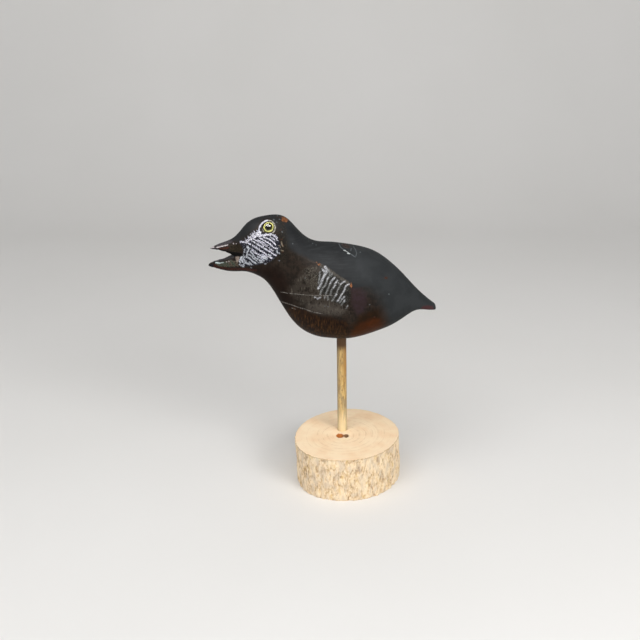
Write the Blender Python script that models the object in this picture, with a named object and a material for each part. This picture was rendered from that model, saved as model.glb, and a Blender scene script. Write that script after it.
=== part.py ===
"""Crow decoy: a carved and painted wooden crow on a dowel in a slice of log.

Metres, +Z up. The origin is on the log slice's underside, below the middle of its sawn
top. The bill points to -X and the bird's left side faces -Y.
"""

import math

import bmesh
import bpy
import numpy as np
from mathutils import Matrix, Vector

MM = 0.001
FIT = 0.3 * MM  # gap kept between two pieces that touch
MERGE = 0.001 * MM  # points closer than this become one

# Slice of log: an uneven round, cut a little aslant, with ridged bark.
LOG_HEIGHT = 46 * MM
LOG_RADIUS = 52.4 * MM
LOG_MIDDLE = (-1.3 * MM, 1.6 * MM)
LOG_SLANT = (2.4 * MM, 0.4 * MM)  # how far the underside is shifted from the top
LOG_LOBES = ((1, 1.7, -40), (2, 3.0, 50), (3, 0.6, 95), (5, 0.4, 10))  # count, mm, degrees
BARK_RIDGES = 37
BARK_RELIEF = 0.7 * MM
BARK_WANDER = 1.6  # radians by which a ridge winds between underside and top
BARK_SWAYS = 5  # times round the log that the winding comes and goes
BARK_SWAY = 3.0  # radians by which it is then shifted up or down
BARK_SWELLS = 11  # stretches of high ridges round the log
BARK_SWELL_TURN = 4.0  # radians by which they are shifted between underside and top
BARK_LEAST = 0.4  # share of the relief between those stretches
BARK_AT_TOP = 0.35  # share of the relief that is left at the sawn top's rim
LOG_SIDES = 148
LOG_LEVELS = 6

# Pith hole in front of the dowel: two lobes, each a radius in x and in y, in mm.
PITH_HOLES = ((-6.9, -3.0, 4.0, 5.0), (-0.9, -3.2, 2.4, 4.4))  # x, y, radius x, radius y
PITH_DEPTH = 9 * MM
PITH_PROFILE = ((0.45, 1.0), (0.8, 0.55), (1.0, 0.0))  # shares of the radius and the depth
PITH_ABOVE = 5.0  # mm by which the drill stands out of the top
PITH_SIDES = 20

# Dowel: from the log slice up into the belly, with a slight lean to the bill.
DOWEL_FOOT = Vector((-4.4 * MM, 10.3 * MM, LOG_HEIGHT))
DOWEL_RADIUS = 4.75 * MM
DOWEL_LEAN = math.radians(0.95)
DOWEL_IN_LOG = 22 * MM
DOWEL_IN_BIRD = 28 * MM
DOWEL_CHAMFER = 0.7 * MM
DOWEL_SIDES = 24

# Bird: the carver's patterns in mm. x is measured from the dowel and is negative to the
# bill; heights are measured from the lowest point of the belly.
BELLY_HEIGHT = 149.7 * MM
BILL_END = -128.0
TAIL_END = 88.3
TAIL_ROUND = 0.9
TAIL_INSET = 0.6 * TAIL_ROUND  # by how much the last section is drawn in
BACK_LINE = (
    (-128, 87.0), (-119, 92.0), (-110, 95.2), (-101, 100.3), (-91, 111.8), (-82, 117.0),
    (-71, 119.3), (-60, 119.7), (-52.5, 116.2), (-45, 107.9), (-36, 98.8), (-27, 94.4),
    (-15, 93.2), (0, 91.5), (15, 88.7), (29, 84.2), (44, 74.0), (58, 60.5), (68, 49.4),
    (78, 39.8), (88.3, 31.3),
)
BELLY_LINE = (
    (-128, 70.0), (-119, 67.8), (-110, 65.8), (-100, 65.7), (-91, 65.8), (-82, 63.0),
    (-73, 56.9), (-63.4, 41.7), (-54.3, 25.0), (-45, 12.6), (-36, 5.9), (-25, 1.6),
    (-12, 0.1), (3, 0.1), (15, 2.2), (29, 6.6), (44, 12.2), (58, 21.0), (66, 26.6),
    (72, 28.4), (80, 27.7), (88.3, 27.9),
)
PLAN_LINE = (  # half width
    (-128, 1.6), (-120, 3.0), (-112, 5.6), (-101, 9.2), (-91, 13.4), (-82, 16.4),
    (-70, 18.6), (-58, 19.4), (-49, 21.2), (-40, 25.6), (-30, 30.6), (-17, 35.4),
    (0, 38.0), (12, 37.6), (25, 35.2), (38, 30.2), (50, 24.0), (60, 18.4), (70, 13.2),
    (80, 9.0), (88.3, 6.4),
)
WIDEST_LEVEL = (  # height of the widest place, as a share of the section's height
    (-128, 0.5), (-100, 0.5), (-82, 0.5), (-65, 0.52), (-45, 0.46), (-20, 0.44),
    (10, 0.44), (40, 0.42), (65, 0.35), (88.3, 0.3),
)
FULLNESS = (  # power of the section's curve: 2 is an ellipse, and more is squarer
    (-128, 2.0), (-101, 2.2), (-84, 2.6), (-66, 2.8), (-50, 2.6), (-30, 2.3), (20, 2.2),
    (60, 2.1), (88.3, 2.2),
)
STATIONS = 58
RING_POINTS = 40

# Open bill: the outline sawn out of the block, seen from the side, in the same mm.
GAPE_OUTLINE = (
    (-95.4, 83.3), (-100.5, 83.4), (-105, 84.2), (-109.5, 85.8), (-116, 87.0),
    (-125.2, 87.1), (-126.0, 88.4), (-127.0, 94.4), (-136, 94.4), (-136, 64.4),
    (-128.4, 64.4), (-127.8, 72.0), (-125.5, 74.0), (-120.5, 75.6), (-112, 77.2),
    (-106, 79.8), (-102, 81.8), (-95.4, 82.8),
)
GAPE_HALF_DEPTH = 40 * MM

# Glass eyes: a domed disc with a flat back, set in a drilled socket.
EYE_RADIUS = 5.0 * MM
EYE_DOME = 2.6 * MM
EYE_RIM = 1.6 * MM
EYE_SINK = 0.9 * MM  # the rim's depth below the highest wood beside it
EYE_X = -69.6
EYE_HEIGHT = 113.6
SOCKET_WALL = 6 * MM  # how far the drill is drawn above the wood
SLOPE_STEP = 0.5  # mm to either side of the eye, to find how the wood slopes there
EYE_SIDES = 28
DOME_STEPS = 6

# Finishes: linear RGB, roughness.
PAINT = ((0.020, 0.019, 0.018), 0.5)
GLASS = ((0.45, 0.43, 0.05), 0.1)
ROD = ((0.42, 0.29, 0.13), 0.7)
SLICE = ((0.66, 0.50, 0.33), 0.85)


def clear_scene():
    """Removes every object, so that the model starts from an empty scene."""
    for obj in list(bpy.data.objects):
        bpy.data.objects.remove(obj, do_unlink=True)


def finish(name, look):
    """Returns a material with a plain colour and roughness."""
    colour, roughness = look
    material = bpy.data.materials.new(name)
    material.use_nodes = True
    shader = material.node_tree.nodes["Principled BSDF"]
    shader.inputs["Base Color"].default_value = (*colour, 1.0)
    shader.inputs["Roughness"].default_value = roughness
    shader.inputs["Metallic"].default_value = 0.0
    return material


def add_object(name, bm, material=None, smooth_angle=40.0):
    """Makes an object of a bmesh, with its faces out and its round stretches smooth."""
    bmesh.ops.recalc_face_normals(bm, faces=bm.faces)
    mesh = bpy.data.meshes.new(name)
    bm.to_mesh(mesh)
    bm.free()
    mesh.shade_smooth()
    mesh.set_sharp_from_angle(angle=math.radians(smooth_angle))
    obj = bpy.data.objects.new(name, mesh)
    bpy.context.collection.objects.link(obj)
    if material:
        mesh.materials.append(material)
    return obj


def cut(target, cutter):
    """Cuts one object out of another with a Boolean, and hides the cutter."""
    cutter.hide_render = True
    cutter.display_type = "WIRE"
    boolean = target.modifiers.new(cutter.name, "BOOLEAN")
    boolean.operation = "DIFFERENCE"
    boolean.solver = "EXACT"
    boolean.object = cutter


def smooth_line(points):
    """Returns the natural cubic spline through the points, as a function of x."""
    xs, ys = np.array(points, dtype=float).T
    step = np.diff(xs)
    slope = np.diff(ys) / step
    system = np.eye(len(xs))
    bend = np.zeros(len(xs))
    for i in range(1, len(xs) - 1):
        system[i, i - 1:i + 2] = (step[i - 1], 2.0 * (step[i - 1] + step[i]), step[i])
        bend[i] = 6.0 * (slope[i] - slope[i - 1])
    curve = np.linalg.solve(system, bend)

    def value(x):
        i = int(np.clip(np.searchsorted(xs, x) - 1, 0, len(step) - 1))
        left, right, width = x - xs[i], xs[i + 1] - x, step[i]
        cubic = (curve[i] * right**3 + curve[i + 1] * left**3) / (6.0 * width)
        start = ys[i] / width - curve[i] * width / 6.0
        end = ys[i + 1] / width - curve[i + 1] * width / 6.0
        return float(cubic + start * right + end * left)

    return value


back_line = smooth_line(BACK_LINE)
belly_line = smooth_line(BELLY_LINE)
plan_line = smooth_line(PLAN_LINE)
widest_level = smooth_line(WIDEST_LEVEL)
fullness = smooth_line(FULLNESS)


def bird_point(x, side, height):
    """Turns a place on the carver's patterns, in mm, into a point of the model."""
    return Vector((
        DOWEL_FOOT.x + x * MM,
        DOWEL_FOOT.y + side * MM,
        BELLY_HEIGHT + height * MM,
    ))


def signed_power(value, power):
    """Raises the size of a number to a power and keeps its sign."""
    return math.copysign(abs(value) ** power, value)


def body_ring(x, inset=0.0):
    """Returns the egg-shaped section of the block at x, as a ring of points."""
    top = back_line(x) - inset
    bottom = belly_line(x) + inset
    half = plan_line(x) - inset
    widest = bottom + (top - bottom) * widest_level(x)
    power = 2.0 / fullness(x)
    ring = []
    for i in range(RING_POINTS):
        angle = 2.0 * math.pi * i / RING_POINTS
        side = half * signed_power(math.cos(angle), power)
        rise = signed_power(math.sin(angle), power)
        reach = top - widest if rise > 0 else widest - bottom
        ring.append((side, widest + reach * rise))
    return ring


def flank(x, height):
    """Returns the block's half width at x and a height, in mm."""
    top, bottom = back_line(x), belly_line(x)
    widest = bottom + (top - bottom) * widest_level(x)
    reach = top - widest if height > widest else widest - bottom
    level = min(abs(height - widest) / reach, 1.0)
    power = fullness(x)
    return plan_line(x) * (1.0 - level**power) ** (1.0 / power)


def bird_stations():
    """Returns the x of each section with its inset; the last one rounds the tail's end."""
    span = TAIL_END - TAIL_ROUND - BILL_END
    stations = [(BILL_END + span * i / (STATIONS - 1), 0.0) for i in range(STATIONS)]
    return stations + [(TAIL_END, TAIL_INSET)]


def build_block():
    """Returns the bird's block, lofted through its sections and closed at both ends."""
    bm = bmesh.new()
    rings = []
    for x, inset in bird_stations():
        ring = [bm.verts.new(bird_point(x, *place)) for place in body_ring(x, inset)]
        rings.append(ring)
    for ring, following in zip(rings, rings[1:]):
        for i in range(RING_POINTS):
            j = (i + 1) % RING_POINTS
            bm.faces.new((ring[i], ring[j], following[j], following[i]))
    bm.faces.new(rings[0])
    bm.faces.new(rings[-1])
    return bm


def turned(profile, sides):
    """Returns a closed turned solid from (radius, height) pairs that start and end at 0."""
    bm = bmesh.new()
    line = [bm.verts.new((radius, 0.0, height)) for radius, height in profile]
    edges = [bm.edges.new(pair) for pair in zip(line, line[1:])]
    bmesh.ops.spin(
        bm, geom=line + edges, cent=(0, 0, 0), axis=(0, 0, 1),
        angle=2.0 * math.pi, steps=sides, use_merge=True,
    )
    bmesh.ops.remove_doubles(bm, verts=bm.verts, dist=MERGE)
    return bm


def rod_profile(radius, bottom, top, chamfer=0.0):
    """Returns the profile of a round rod with chamfered ends."""
    body = [(radius, bottom + chamfer), (radius, top - chamfer)]
    if chamfer:
        body = [(radius - chamfer, bottom), *body, (radius - chamfer, top)]
    return [(0.0, bottom), *body, (0.0, top)]


def eye_profile():
    """Returns the glass eye's profile: flat back, upright rim and a dome in front."""
    sphere = (EYE_RADIUS**2 + EYE_DOME**2) / (2.0 * EYE_DOME)
    half_angle = math.asin(EYE_RADIUS / sphere)
    dome = [
        (sphere * math.sin(angle), sphere * (math.cos(angle) - math.cos(half_angle)))
        for angle in (half_angle * (1.0 - i / DOME_STEPS) for i in range(DOME_STEPS))
    ]
    return [(0.0, -EYE_RIM), (EYE_RADIUS, -EYE_RIM), *dome, (0.0, EYE_DOME)]


def dowel_frame():
    """Returns the dowel's place: its foot on the log's top and its slight lean."""
    return Matrix.Translation(DOWEL_FOOT) @ Matrix.Rotation(-DOWEL_LEAN, 4, "Y")


def eye_frame(side):
    """Returns the place of an eye: on the cheek, facing straight out of the wood.

    side is -1 for the bird's left eye and 1 for its right eye.
    """
    half = flank(EYE_X, EYE_HEIGHT)
    behind, before = (flank(EYE_X + step, EYE_HEIGHT) for step in (SLOPE_STEP, -SLOPE_STEP))
    above, below = (flank(EYE_X, EYE_HEIGHT + step) for step in (SLOPE_STEP, -SLOPE_STEP))
    along = (behind - before) / (2 * SLOPE_STEP)
    up = (above - below) / (2 * SLOPE_STEP)
    outward = Vector((-along, side, -up)).normalized()
    seat = bird_point(EYE_X, side * half, EYE_HEIGHT) - outward * EYE_SINK
    return Matrix.Translation(seat) @ outward.to_track_quat("Z", "Y").to_matrix().to_4x4()


def build_bird(paint):
    """Builds the carved bird: the block less its open bill, eye sockets and dowel hole."""
    bird = add_object("bird_body", build_block(), paint)

    gape = bmesh.new()
    outline = [gape.verts.new(bird_point(x, 0.0, height)) for x, height in GAPE_OUTLINE]
    for vertex in outline:
        vertex.co.y -= GAPE_HALF_DEPTH
    face = gape.faces.new(outline)
    extruded = bmesh.ops.extrude_face_region(gape, geom=[face])["geom"]
    far_side = [item for item in extruded if isinstance(item, bmesh.types.BMVert)]
    bmesh.ops.translate(gape, verts=far_side, vec=(0.0, 2.0 * GAPE_HALF_DEPTH, 0.0))
    cut(bird, add_object("cut_gape", gape))

    for name, side in (("left", -1), ("right", 1)):
        profile = rod_profile(EYE_RADIUS + FIT, -EYE_RIM - FIT, SOCKET_WALL)
        drill = add_object("cut_socket_" + name, turned(profile, EYE_SIDES))
        drill.matrix_world = eye_frame(side)
        cut(bird, drill)

    top = BELLY_HEIGHT - LOG_HEIGHT + DOWEL_IN_BIRD + FIT
    midway = 0.5 * (BELLY_HEIGHT - LOG_HEIGHT)
    profile = rod_profile(DOWEL_RADIUS + FIT, midway, top)
    drill = add_object("cut_belly_hole", turned(profile, DOWEL_SIDES))
    drill.matrix_world = dowel_frame()
    cut(bird, drill)


def build_eyes(glass):
    """Builds the two glass eyes in their sockets."""
    for name, side in (("eye_left", -1), ("eye_right", 1)):
        eye = add_object(name, turned(eye_profile(), EYE_SIDES), glass)
        eye.matrix_world = eye_frame(side)


def build_dowel(wood):
    """Builds the rod that joins the log slice and the bird."""
    top = BELLY_HEIGHT - LOG_HEIGHT + DOWEL_IN_BIRD
    profile = rod_profile(DOWEL_RADIUS, -DOWEL_IN_LOG, top, DOWEL_CHAMFER)
    dowel = add_object("dowel", turned(profile, DOWEL_SIDES), wood)
    dowel.matrix_world = dowel_frame()


def bark_radius(angle, level):
    """Returns the log's radius at an angle and a level from 0 (underside) to 1 (top)."""
    radius = LOG_RADIUS
    for count, size, turn in LOG_LOBES:
        radius += size * MM * math.cos(count * (angle - math.radians(turn)))
    shift = BARK_SWAY * math.sin(BARK_SWAYS * angle)
    wander = BARK_WANDER * math.sin(2.0 * math.pi * level + shift)
    ridge = math.sin(BARK_RIDGES * angle + wander)
    swell = 0.5 + 0.5 * math.sin(BARK_SWELLS * angle + BARK_SWELL_TURN * level)
    depth = BARK_RELIEF * (1.0 - (1.0 - BARK_AT_TOP) * level)
    return radius + depth * ridge * (BARK_LEAST + (1.0 - BARK_LEAST) * swell)


def build_log(wood):
    """Builds the slice of log with its bark, its dowel hole and its pith hole."""
    bm = bmesh.new()
    rings = []
    for i in range(LOG_LEVELS):
        level = i / (LOG_LEVELS - 1)
        shift_x = LOG_MIDDLE[0] + LOG_SLANT[0] * (1.0 - level)
        shift_y = LOG_MIDDLE[1] + LOG_SLANT[1] * (1.0 - level)
        ring = []
        for k in range(LOG_SIDES):
            angle = 2.0 * math.pi * k / LOG_SIDES
            radius = bark_radius(angle, level)
            x = shift_x + radius * math.cos(angle)
            y = shift_y + radius * math.sin(angle)
            ring.append(bm.verts.new((x, y, level * LOG_HEIGHT)))
        rings.append(ring)
    for ring, above in zip(rings, rings[1:]):
        for k in range(LOG_SIDES):
            j = (k + 1) % LOG_SIDES
            bm.faces.new((ring[k], ring[j], above[j], above[k]))
    bm.faces.new(rings[0])
    bm.faces.new(rings[-1])
    log = add_object("log_base", bm, wood)

    profile = rod_profile(DOWEL_RADIUS + FIT, -DOWEL_IN_LOG - FIT, LOG_HEIGHT)
    drill = add_object("cut_dowel_hole", turned(profile, DOWEL_SIDES))
    drill.matrix_world = dowel_frame()
    cut(log, drill)

    bottom = -PITH_DEPTH / MM
    wall = [(share, down * bottom) for share, down in PITH_PROFILE]
    profile = [(0.0, bottom), *wall, (1.0, PITH_ABOVE), (0.0, PITH_ABOVE)]
    for number, (x, y, radius_x, radius_y) in enumerate(PITH_HOLES, 1):
        hollow = turned(profile, PITH_SIDES)
        bmesh.ops.scale(hollow, vec=(radius_x * MM, radius_y * MM, MM), verts=hollow.verts)
        drill = add_object(f"cut_pith_{number}", hollow)
        drill.location = (x * MM, y * MM, LOG_HEIGHT)
        cut(log, drill)


def main():
    """Builds the decoy."""
    clear_scene()
    build_log(finish("log_wood", SLICE))
    build_dowel(finish("dowel_wood", ROD))
    build_bird(finish("crow_paint", PAINT))
    build_eyes(finish("eye_glass", GLASS))


if __name__ == "__main__":
    main()
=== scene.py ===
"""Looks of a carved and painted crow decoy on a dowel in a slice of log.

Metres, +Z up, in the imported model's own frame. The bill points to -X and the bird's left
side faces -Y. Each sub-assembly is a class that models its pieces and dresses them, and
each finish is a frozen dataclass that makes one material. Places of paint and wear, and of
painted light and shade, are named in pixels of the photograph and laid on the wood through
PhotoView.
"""

import logging
import math
from dataclasses import dataclass
from enum import Enum

import bpy
import numpy as np
from mathutils import Matrix, Vector, noise


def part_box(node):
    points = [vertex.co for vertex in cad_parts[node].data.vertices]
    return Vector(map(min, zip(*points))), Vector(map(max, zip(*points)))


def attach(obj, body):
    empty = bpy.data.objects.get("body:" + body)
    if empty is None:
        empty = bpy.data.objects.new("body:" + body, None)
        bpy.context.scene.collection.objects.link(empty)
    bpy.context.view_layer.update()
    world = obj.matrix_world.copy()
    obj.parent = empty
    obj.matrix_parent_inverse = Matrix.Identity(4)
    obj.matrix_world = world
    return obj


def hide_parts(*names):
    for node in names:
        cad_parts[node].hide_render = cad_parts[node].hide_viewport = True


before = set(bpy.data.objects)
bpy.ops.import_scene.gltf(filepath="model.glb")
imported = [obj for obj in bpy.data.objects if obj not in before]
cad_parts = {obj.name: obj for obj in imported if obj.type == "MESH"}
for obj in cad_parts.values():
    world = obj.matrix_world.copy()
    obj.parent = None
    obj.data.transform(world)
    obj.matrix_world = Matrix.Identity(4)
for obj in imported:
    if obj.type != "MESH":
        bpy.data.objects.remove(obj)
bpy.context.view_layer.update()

MM = 0.001
BODY = "root"
UP = Vector((0.0, 0.0, 1.0))

# Sockets of the Mix node for colours.
SHARE, UNDER, OVER, MIXED = 0, 6, 7, 2

log = logging.getLogger("decoy")

Outline = tuple[tuple[float, float], ...]
Strokes = tuple[tuple[float, Outline], ...]
Spots = tuple[tuple[float, float, float, float, float], ...]


def linear(colour: str) -> tuple[float, float, float, float]:
    """Turns an sRGB hex colour such as #c49a6c into linear RGBA."""
    channels = [int(colour[i:i + 2], 16) / 255.0 for i in (1, 3, 5)]
    light = [c / 12.92 if c <= 0.04045 else ((c + 0.055) / 1.055) ** 2.4 for c in channels]
    return (*light, 1.0)


def per_mm(size: float) -> float:
    """Scale of a texture whose features are that many millimetres across."""
    return 1.0 / (size * MM)


def add(tree: bpy.types.NodeTree, kind: str, sockets: dict | None = None,
        out: int | str = 0, stops: tuple = (), **settings) -> bpy.types.NodeSocket:
    """Adds a node to a tree.

    Args:
        tree: the material's node tree.
        kind: the node's type name.
        sockets: for each input, by name or number, a value, a hex colour or a socket to link.
        out: the output to return.
        stops: for a colour ramp, its (position, hex colour) pairs.
        settings: the node's own properties.

    Returns:
        The node's output socket.
    """
    node = tree.nodes.new(kind)
    for name, value in settings.items():
        setattr(node, name, value)
    for key, value in (sockets or {}).items():
        socket = node.inputs[key]
        if isinstance(value, bpy.types.NodeSocket):
            tree.links.new(value, socket)
        else:
            socket.default_value = linear(value) if isinstance(value, str) else value
    for i, (position, colour) in enumerate(stops):
        ramp = node.color_ramp.elements
        stop = ramp[i] if i < len(ramp) else ramp.new(position)
        stop.position = position
        stop.color = linear(colour)
    return node.outputs[out]


def new_material(name: str) -> tuple[bpy.types.Material, bpy.types.NodeTree]:
    """Starts a material with nothing but its output node.

    Args:
        name: the material's name.

    Returns:
        The material and its node tree.
    """
    material = bpy.data.materials.new(name)
    material.use_nodes = True
    tree = material.node_tree
    tree.nodes.clear()
    return material, tree


def surface(tree: bpy.types.NodeTree, shader: bpy.types.NodeSocket) -> None:
    """Links a shader to the material's output."""
    output = tree.nodes.new("ShaderNodeOutputMaterial")
    tree.links.new(shader, output.inputs["Surface"])


def ease(values: np.ndarray, low: float, high: float) -> np.ndarray:
    """Smooth step from 0 at low to 1 at high."""
    share = np.clip((values - low) / (high - low), 0.0, 1.0)
    return share * share * (3.0 - 2.0 * share)


def grain(points: np.ndarray, size: float | tuple[float, float, float],
          seed: float = 0.0) -> np.ndarray:
    """Smooth noise at each point, from about -1 to 1, with features of a size in mm."""
    scaled = points / (np.array(size) * MM) + seed
    return np.array([noise.noise(place) for place in scaled.tolist()])


def places(mesh: bpy.types.Mesh) -> np.ndarray:
    """Reads the mesh's vertices.

    Args:
        mesh: the mesh to read.

    Returns:
        A row of x, y and z for each vertex, in metres.
    """
    flat = np.empty(len(mesh.vertices) * 3, np.float32)
    mesh.vertices.foreach_get("co", flat)
    return flat.reshape(-1, 3).astype(float)


def set_places(mesh: bpy.types.Mesh, points: np.ndarray) -> None:
    """Moves the mesh's vertices."""
    mesh.vertices.foreach_set("co", points.astype(np.float32).ravel())
    mesh.update()


def outward(mesh: bpy.types.Mesh) -> np.ndarray:
    """Reads the normals at the mesh's vertices.

    Args:
        mesh: the mesh to read.

    Returns:
        A row for each vertex.
    """
    flat = np.empty(len(mesh.vertices) * 3, np.float32)
    mesh.vertex_normals.foreach_get("vector", flat)
    return flat.reshape(-1, 3).astype(float)


def face_values(mesh: bpy.types.Mesh, what: str) -> np.ndarray:
    """Reads a vector of each face, such as its center or its normal.

    Args:
        mesh: the mesh to read.
        what: the faces' property.

    Returns:
        A row for each face.
    """
    flat = np.empty(len(mesh.polygons) * 3, np.float32)
    mesh.polygons.foreach_get(what, flat)
    return flat.reshape(-1, 3).astype(float)


def store(mesh: bpy.types.Mesh, name: str, values: np.ndarray) -> None:
    """Keeps a number at each vertex, for the material to read."""
    attribute = mesh.attributes.new(name, "FLOAT", "POINT")
    attribute.data.foreach_set("value", values.astype(np.float32))


def even_out(mesh: bpy.types.Mesh, share: np.ndarray, rounds: int) -> None:
    """Evens a mesh without shrinking it, by pulling it in and letting it out in turn.

    Args:
        mesh: the mesh to even.
        share: for each vertex, how much of each pull it takes, from 0 to 1.
        rounds: how many times it is pulled in and let out.
    """
    pull_in, let_out = 0.55, -0.58
    flat = np.empty(len(mesh.edges) * 2, np.int32)
    mesh.edges.foreach_get("vertices", flat)
    pairs = flat.reshape(-1, 2)
    start, end = np.concatenate([pairs, pairs[:, ::-1]]).T
    points = places(mesh)
    count = np.maximum(np.bincount(start, minlength=len(points)), 1)
    for _ in range(rounds):
        for pull in (pull_in, let_out):
            sums = [np.bincount(start, points[end, k], len(points)) for k in range(3)]
            mean = np.stack(sums, axis=1) / count[:, None]
            points += pull * share[:, None] * (mean - points)
    set_places(mesh, points)


def pick(obj: bpy.types.Object) -> None:
    """Selects one object alone and makes it the active one.

    Args:
        obj: the object to work on.
    """
    bpy.ops.object.select_all(action="DESELECT")
    obj.select_set(True)
    bpy.context.view_layer.objects.active = obj


def edit_faces(obj: bpy.types.Object, chosen: np.ndarray) -> None:
    """Goes into edit mode with the chosen faces selected.

    Args:
        obj: the piece.
        chosen: for each face, whether it is selected.
    """
    pick(obj)
    mesh = obj.data
    mesh.vertices.foreach_set("select", np.zeros(len(mesh.vertices), bool))
    mesh.edges.foreach_set("select", np.zeros(len(mesh.edges), bool))
    mesh.polygons.foreach_set("select", chosen)
    bpy.ops.object.mode_set(mode="EDIT")
    bpy.ops.mesh.select_mode(type="FACE")


def edit_edges(obj: bpy.types.Object, ends: np.ndarray) -> None:
    """Goes into edit mode with the edges selected whose two ends are chosen.

    Args:
        obj: the piece.
        ends: for each vertex, whether it is chosen.
    """
    pick(obj)
    mesh = obj.data
    mesh.vertices.foreach_set("select", ends)
    for edge in mesh.edges:
        edge.select = all(ends[i] for i in edge.vertices)
    mesh.polygons.foreach_set("select", np.zeros(len(mesh.polygons), bool))
    bpy.ops.object.mode_set(mode="EDIT")
    bpy.ops.mesh.select_mode(type="EDGE")


def leave_edit() -> None:
    """Goes back to object mode."""
    bpy.ops.object.mode_set(mode="OBJECT")


def apply_modifier(obj: bpy.types.Object, kind: str, **settings) -> None:
    """Adds a modifier with its settings and applies it.

    Args:
        obj: the piece.
        kind: the modifier's type name.
        settings: the modifier's own properties.
    """
    pick(obj)
    modifier = obj.modifiers.new(kind.lower(), kind)
    for name, value in settings.items():
        setattr(modifier, name, value)
    bpy.ops.object.modifier_apply(modifier=modifier.name)


def copy_of_node(node: str, name: str) -> bpy.types.Object:
    """Copies a CAD node's mesh to a new piece and merges its loose triangles.

    Args:
        node: the CAD node's name.
        name: the new piece's name.

    Returns:
        The new piece, in the node's place.
    """
    obj = bpy.data.objects.new(name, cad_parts[node].data.copy())
    bpy.context.scene.collection.objects.link(obj)
    edit_faces(obj, np.ones(len(obj.data.polygons), bool))
    bpy.ops.mesh.remove_doubles(threshold=0.01 * MM)
    leave_edit()
    return obj


def name_piece(name: str) -> bpy.types.Object:
    """Names the primitive that was just added, and puts its place into its mesh.

    Args:
        name: the piece's name.

    Returns:
        The piece, with its origin at the world's.
    """
    obj = bpy.context.object
    obj.name = name
    obj.data.name = name
    pick(obj)
    bpy.ops.object.transform_apply(location=True, rotation=True, scale=True)
    return obj


def smooth_faces(obj: bpy.types.Object, sharp_from: float = 40.0) -> None:
    """Shades a piece smooth, but for edges sharper than an angle in degrees."""
    pick(obj)
    bpy.ops.object.shade_smooth_by_angle(angle=math.radians(sharp_from))


def dress(obj: bpy.types.Object, material: bpy.types.Material) -> None:
    """Gives a piece one material.

    Args:
        obj: the piece.
        material: its material.
    """
    obj.data.materials.clear()
    obj.data.materials.append(material)


def hand_over(obj: bpy.types.Object, *nodes: str) -> None:
    """Lets a finished piece stand for its CAD nodes and ride on the body.

    Args:
        obj: the finished piece.
        nodes: the CAD nodes it stands for, if any.
    """
    if nodes:
        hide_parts(*nodes)
    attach(obj, BODY)
    log.info("%s: %d faces", obj.name, len(obj.data.polygons))


@dataclass(frozen=True)
class PhotoView:
    """The photograph's own view of the decoy, as a pinhole camera.

    Its place follows from one sighting: the middle of the log's sawn top, seen at one
    pixel of the 640 by 640 photograph, a metre away along the view.
    """

    pitch: float = math.radians(22.6)
    focal: float = 1000.0
    side: float = 640.0
    sighted: tuple[float, float, float] = (0.0, 0.0, 46 * MM)
    sighted_at: tuple[float, float] = (346.9, 433.9)
    depth: float = 1.0
    sensor: float = 36.0

    @property
    def axes(self) -> np.ndarray:
        """Rows: to the right, up and forward."""
        sine, cosine = math.sin(self.pitch), math.cos(self.pitch)
        return np.array([[1.0, 0.0, 0.0], [0.0, sine, cosine], [0.0, cosine, -sine]])

    @property
    def eye(self) -> np.ndarray:
        """Where the camera stands."""
        u, v = self.sighted_at
        middle = self.side / 2
        sight = np.array([(u - middle) / self.focal, (middle - v) / self.focal, 1.0])
        return np.array(self.sighted) - self.depth * (sight @ self.axes)

    def pixels(self, points: np.ndarray) -> np.ndarray:
        """Finds the pixels at which points are seen.

        Args:
            points: rows of x, y, z in metres.

        Returns:
            Rows of u, v in pixels, v downwards.
        """
        right, up, forward = ((points - self.eye) @ self.axes.T).T
        middle = self.side / 2
        return np.stack([middle + self.focal * right / forward,
                         middle - self.focal * up / forward], axis=1)

    def facing(self, points: np.ndarray, normals: np.ndarray) -> np.ndarray:
        """How squarely each point faces the camera: 1 full on, below 0 turned away."""
        back = self.eye - points
        return np.sum(back * normals, axis=1) / np.linalg.norm(back, axis=1)

    def make_camera(self) -> None:
        """Stands the scene's camera at the photograph's viewpoint."""
        data = bpy.data.cameras.new("photo_view")
        data.sensor_width = self.sensor
        data.lens = self.focal * self.sensor / self.side
        camera = bpy.data.objects.new("photo_view", data)
        camera.location = self.eye
        camera.rotation_euler = (math.pi / 2 - self.pitch, 0.0, 0.0)
        bpy.context.scene.collection.objects.link(camera)
        bpy.context.scene.camera = camera


def line_distance(pixels: np.ndarray, line: Outline) -> np.ndarray:
    """Distance in pixels from each pixel to an open line.

    Args:
        pixels: the points' pixels.
        line: the line's corners.

    Returns:
        Each point's distance from the line, in pixels.
    """
    nearest = np.full(len(pixels), np.inf)
    for start, end in zip(np.array(line[:-1]), np.array(line[1:])):
        run = end - start
        share = np.clip((pixels - start) @ run / (run @ run), 0.0, 1.0)
        gap = pixels - start - share[:, None] * run
        nearest = np.minimum(nearest, np.hypot(gap[:, 0], gap[:, 1]))
    return nearest


def patch_depth(pixels: np.ndarray, outline: Outline) -> np.ndarray:
    """Distance in pixels from each pixel to a closed outline's edge, positive inside.

    Args:
        pixels: the points' pixels.
        outline: the patch's corners.

    Returns:
        Each point's distance inside the edge in pixels, negative outside.
    """
    nearest = line_distance(pixels, (*outline, outline[0]))
    u, v = pixels.T
    inside = np.zeros(len(pixels), bool)
    for (u0, v0), (u1, v1) in zip(outline, (*outline[1:], outline[0])):
        spans = (v0 > v) != (v1 > v)
        rise = v1 - v0 if v1 != v0 else 1.0
        inside ^= spans & (u < u0 + (v - v0) * (u1 - u0) / rise)
    return np.where(inside, nearest, -nearest)


def stroke_depth(pixels: np.ndarray, strokes: Strokes) -> np.ndarray:
    """Distance in pixels inside the nearest stroke's edge, negative outside."""
    return np.max([half - line_distance(pixels, line) for half, line in strokes], axis=0)


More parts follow.
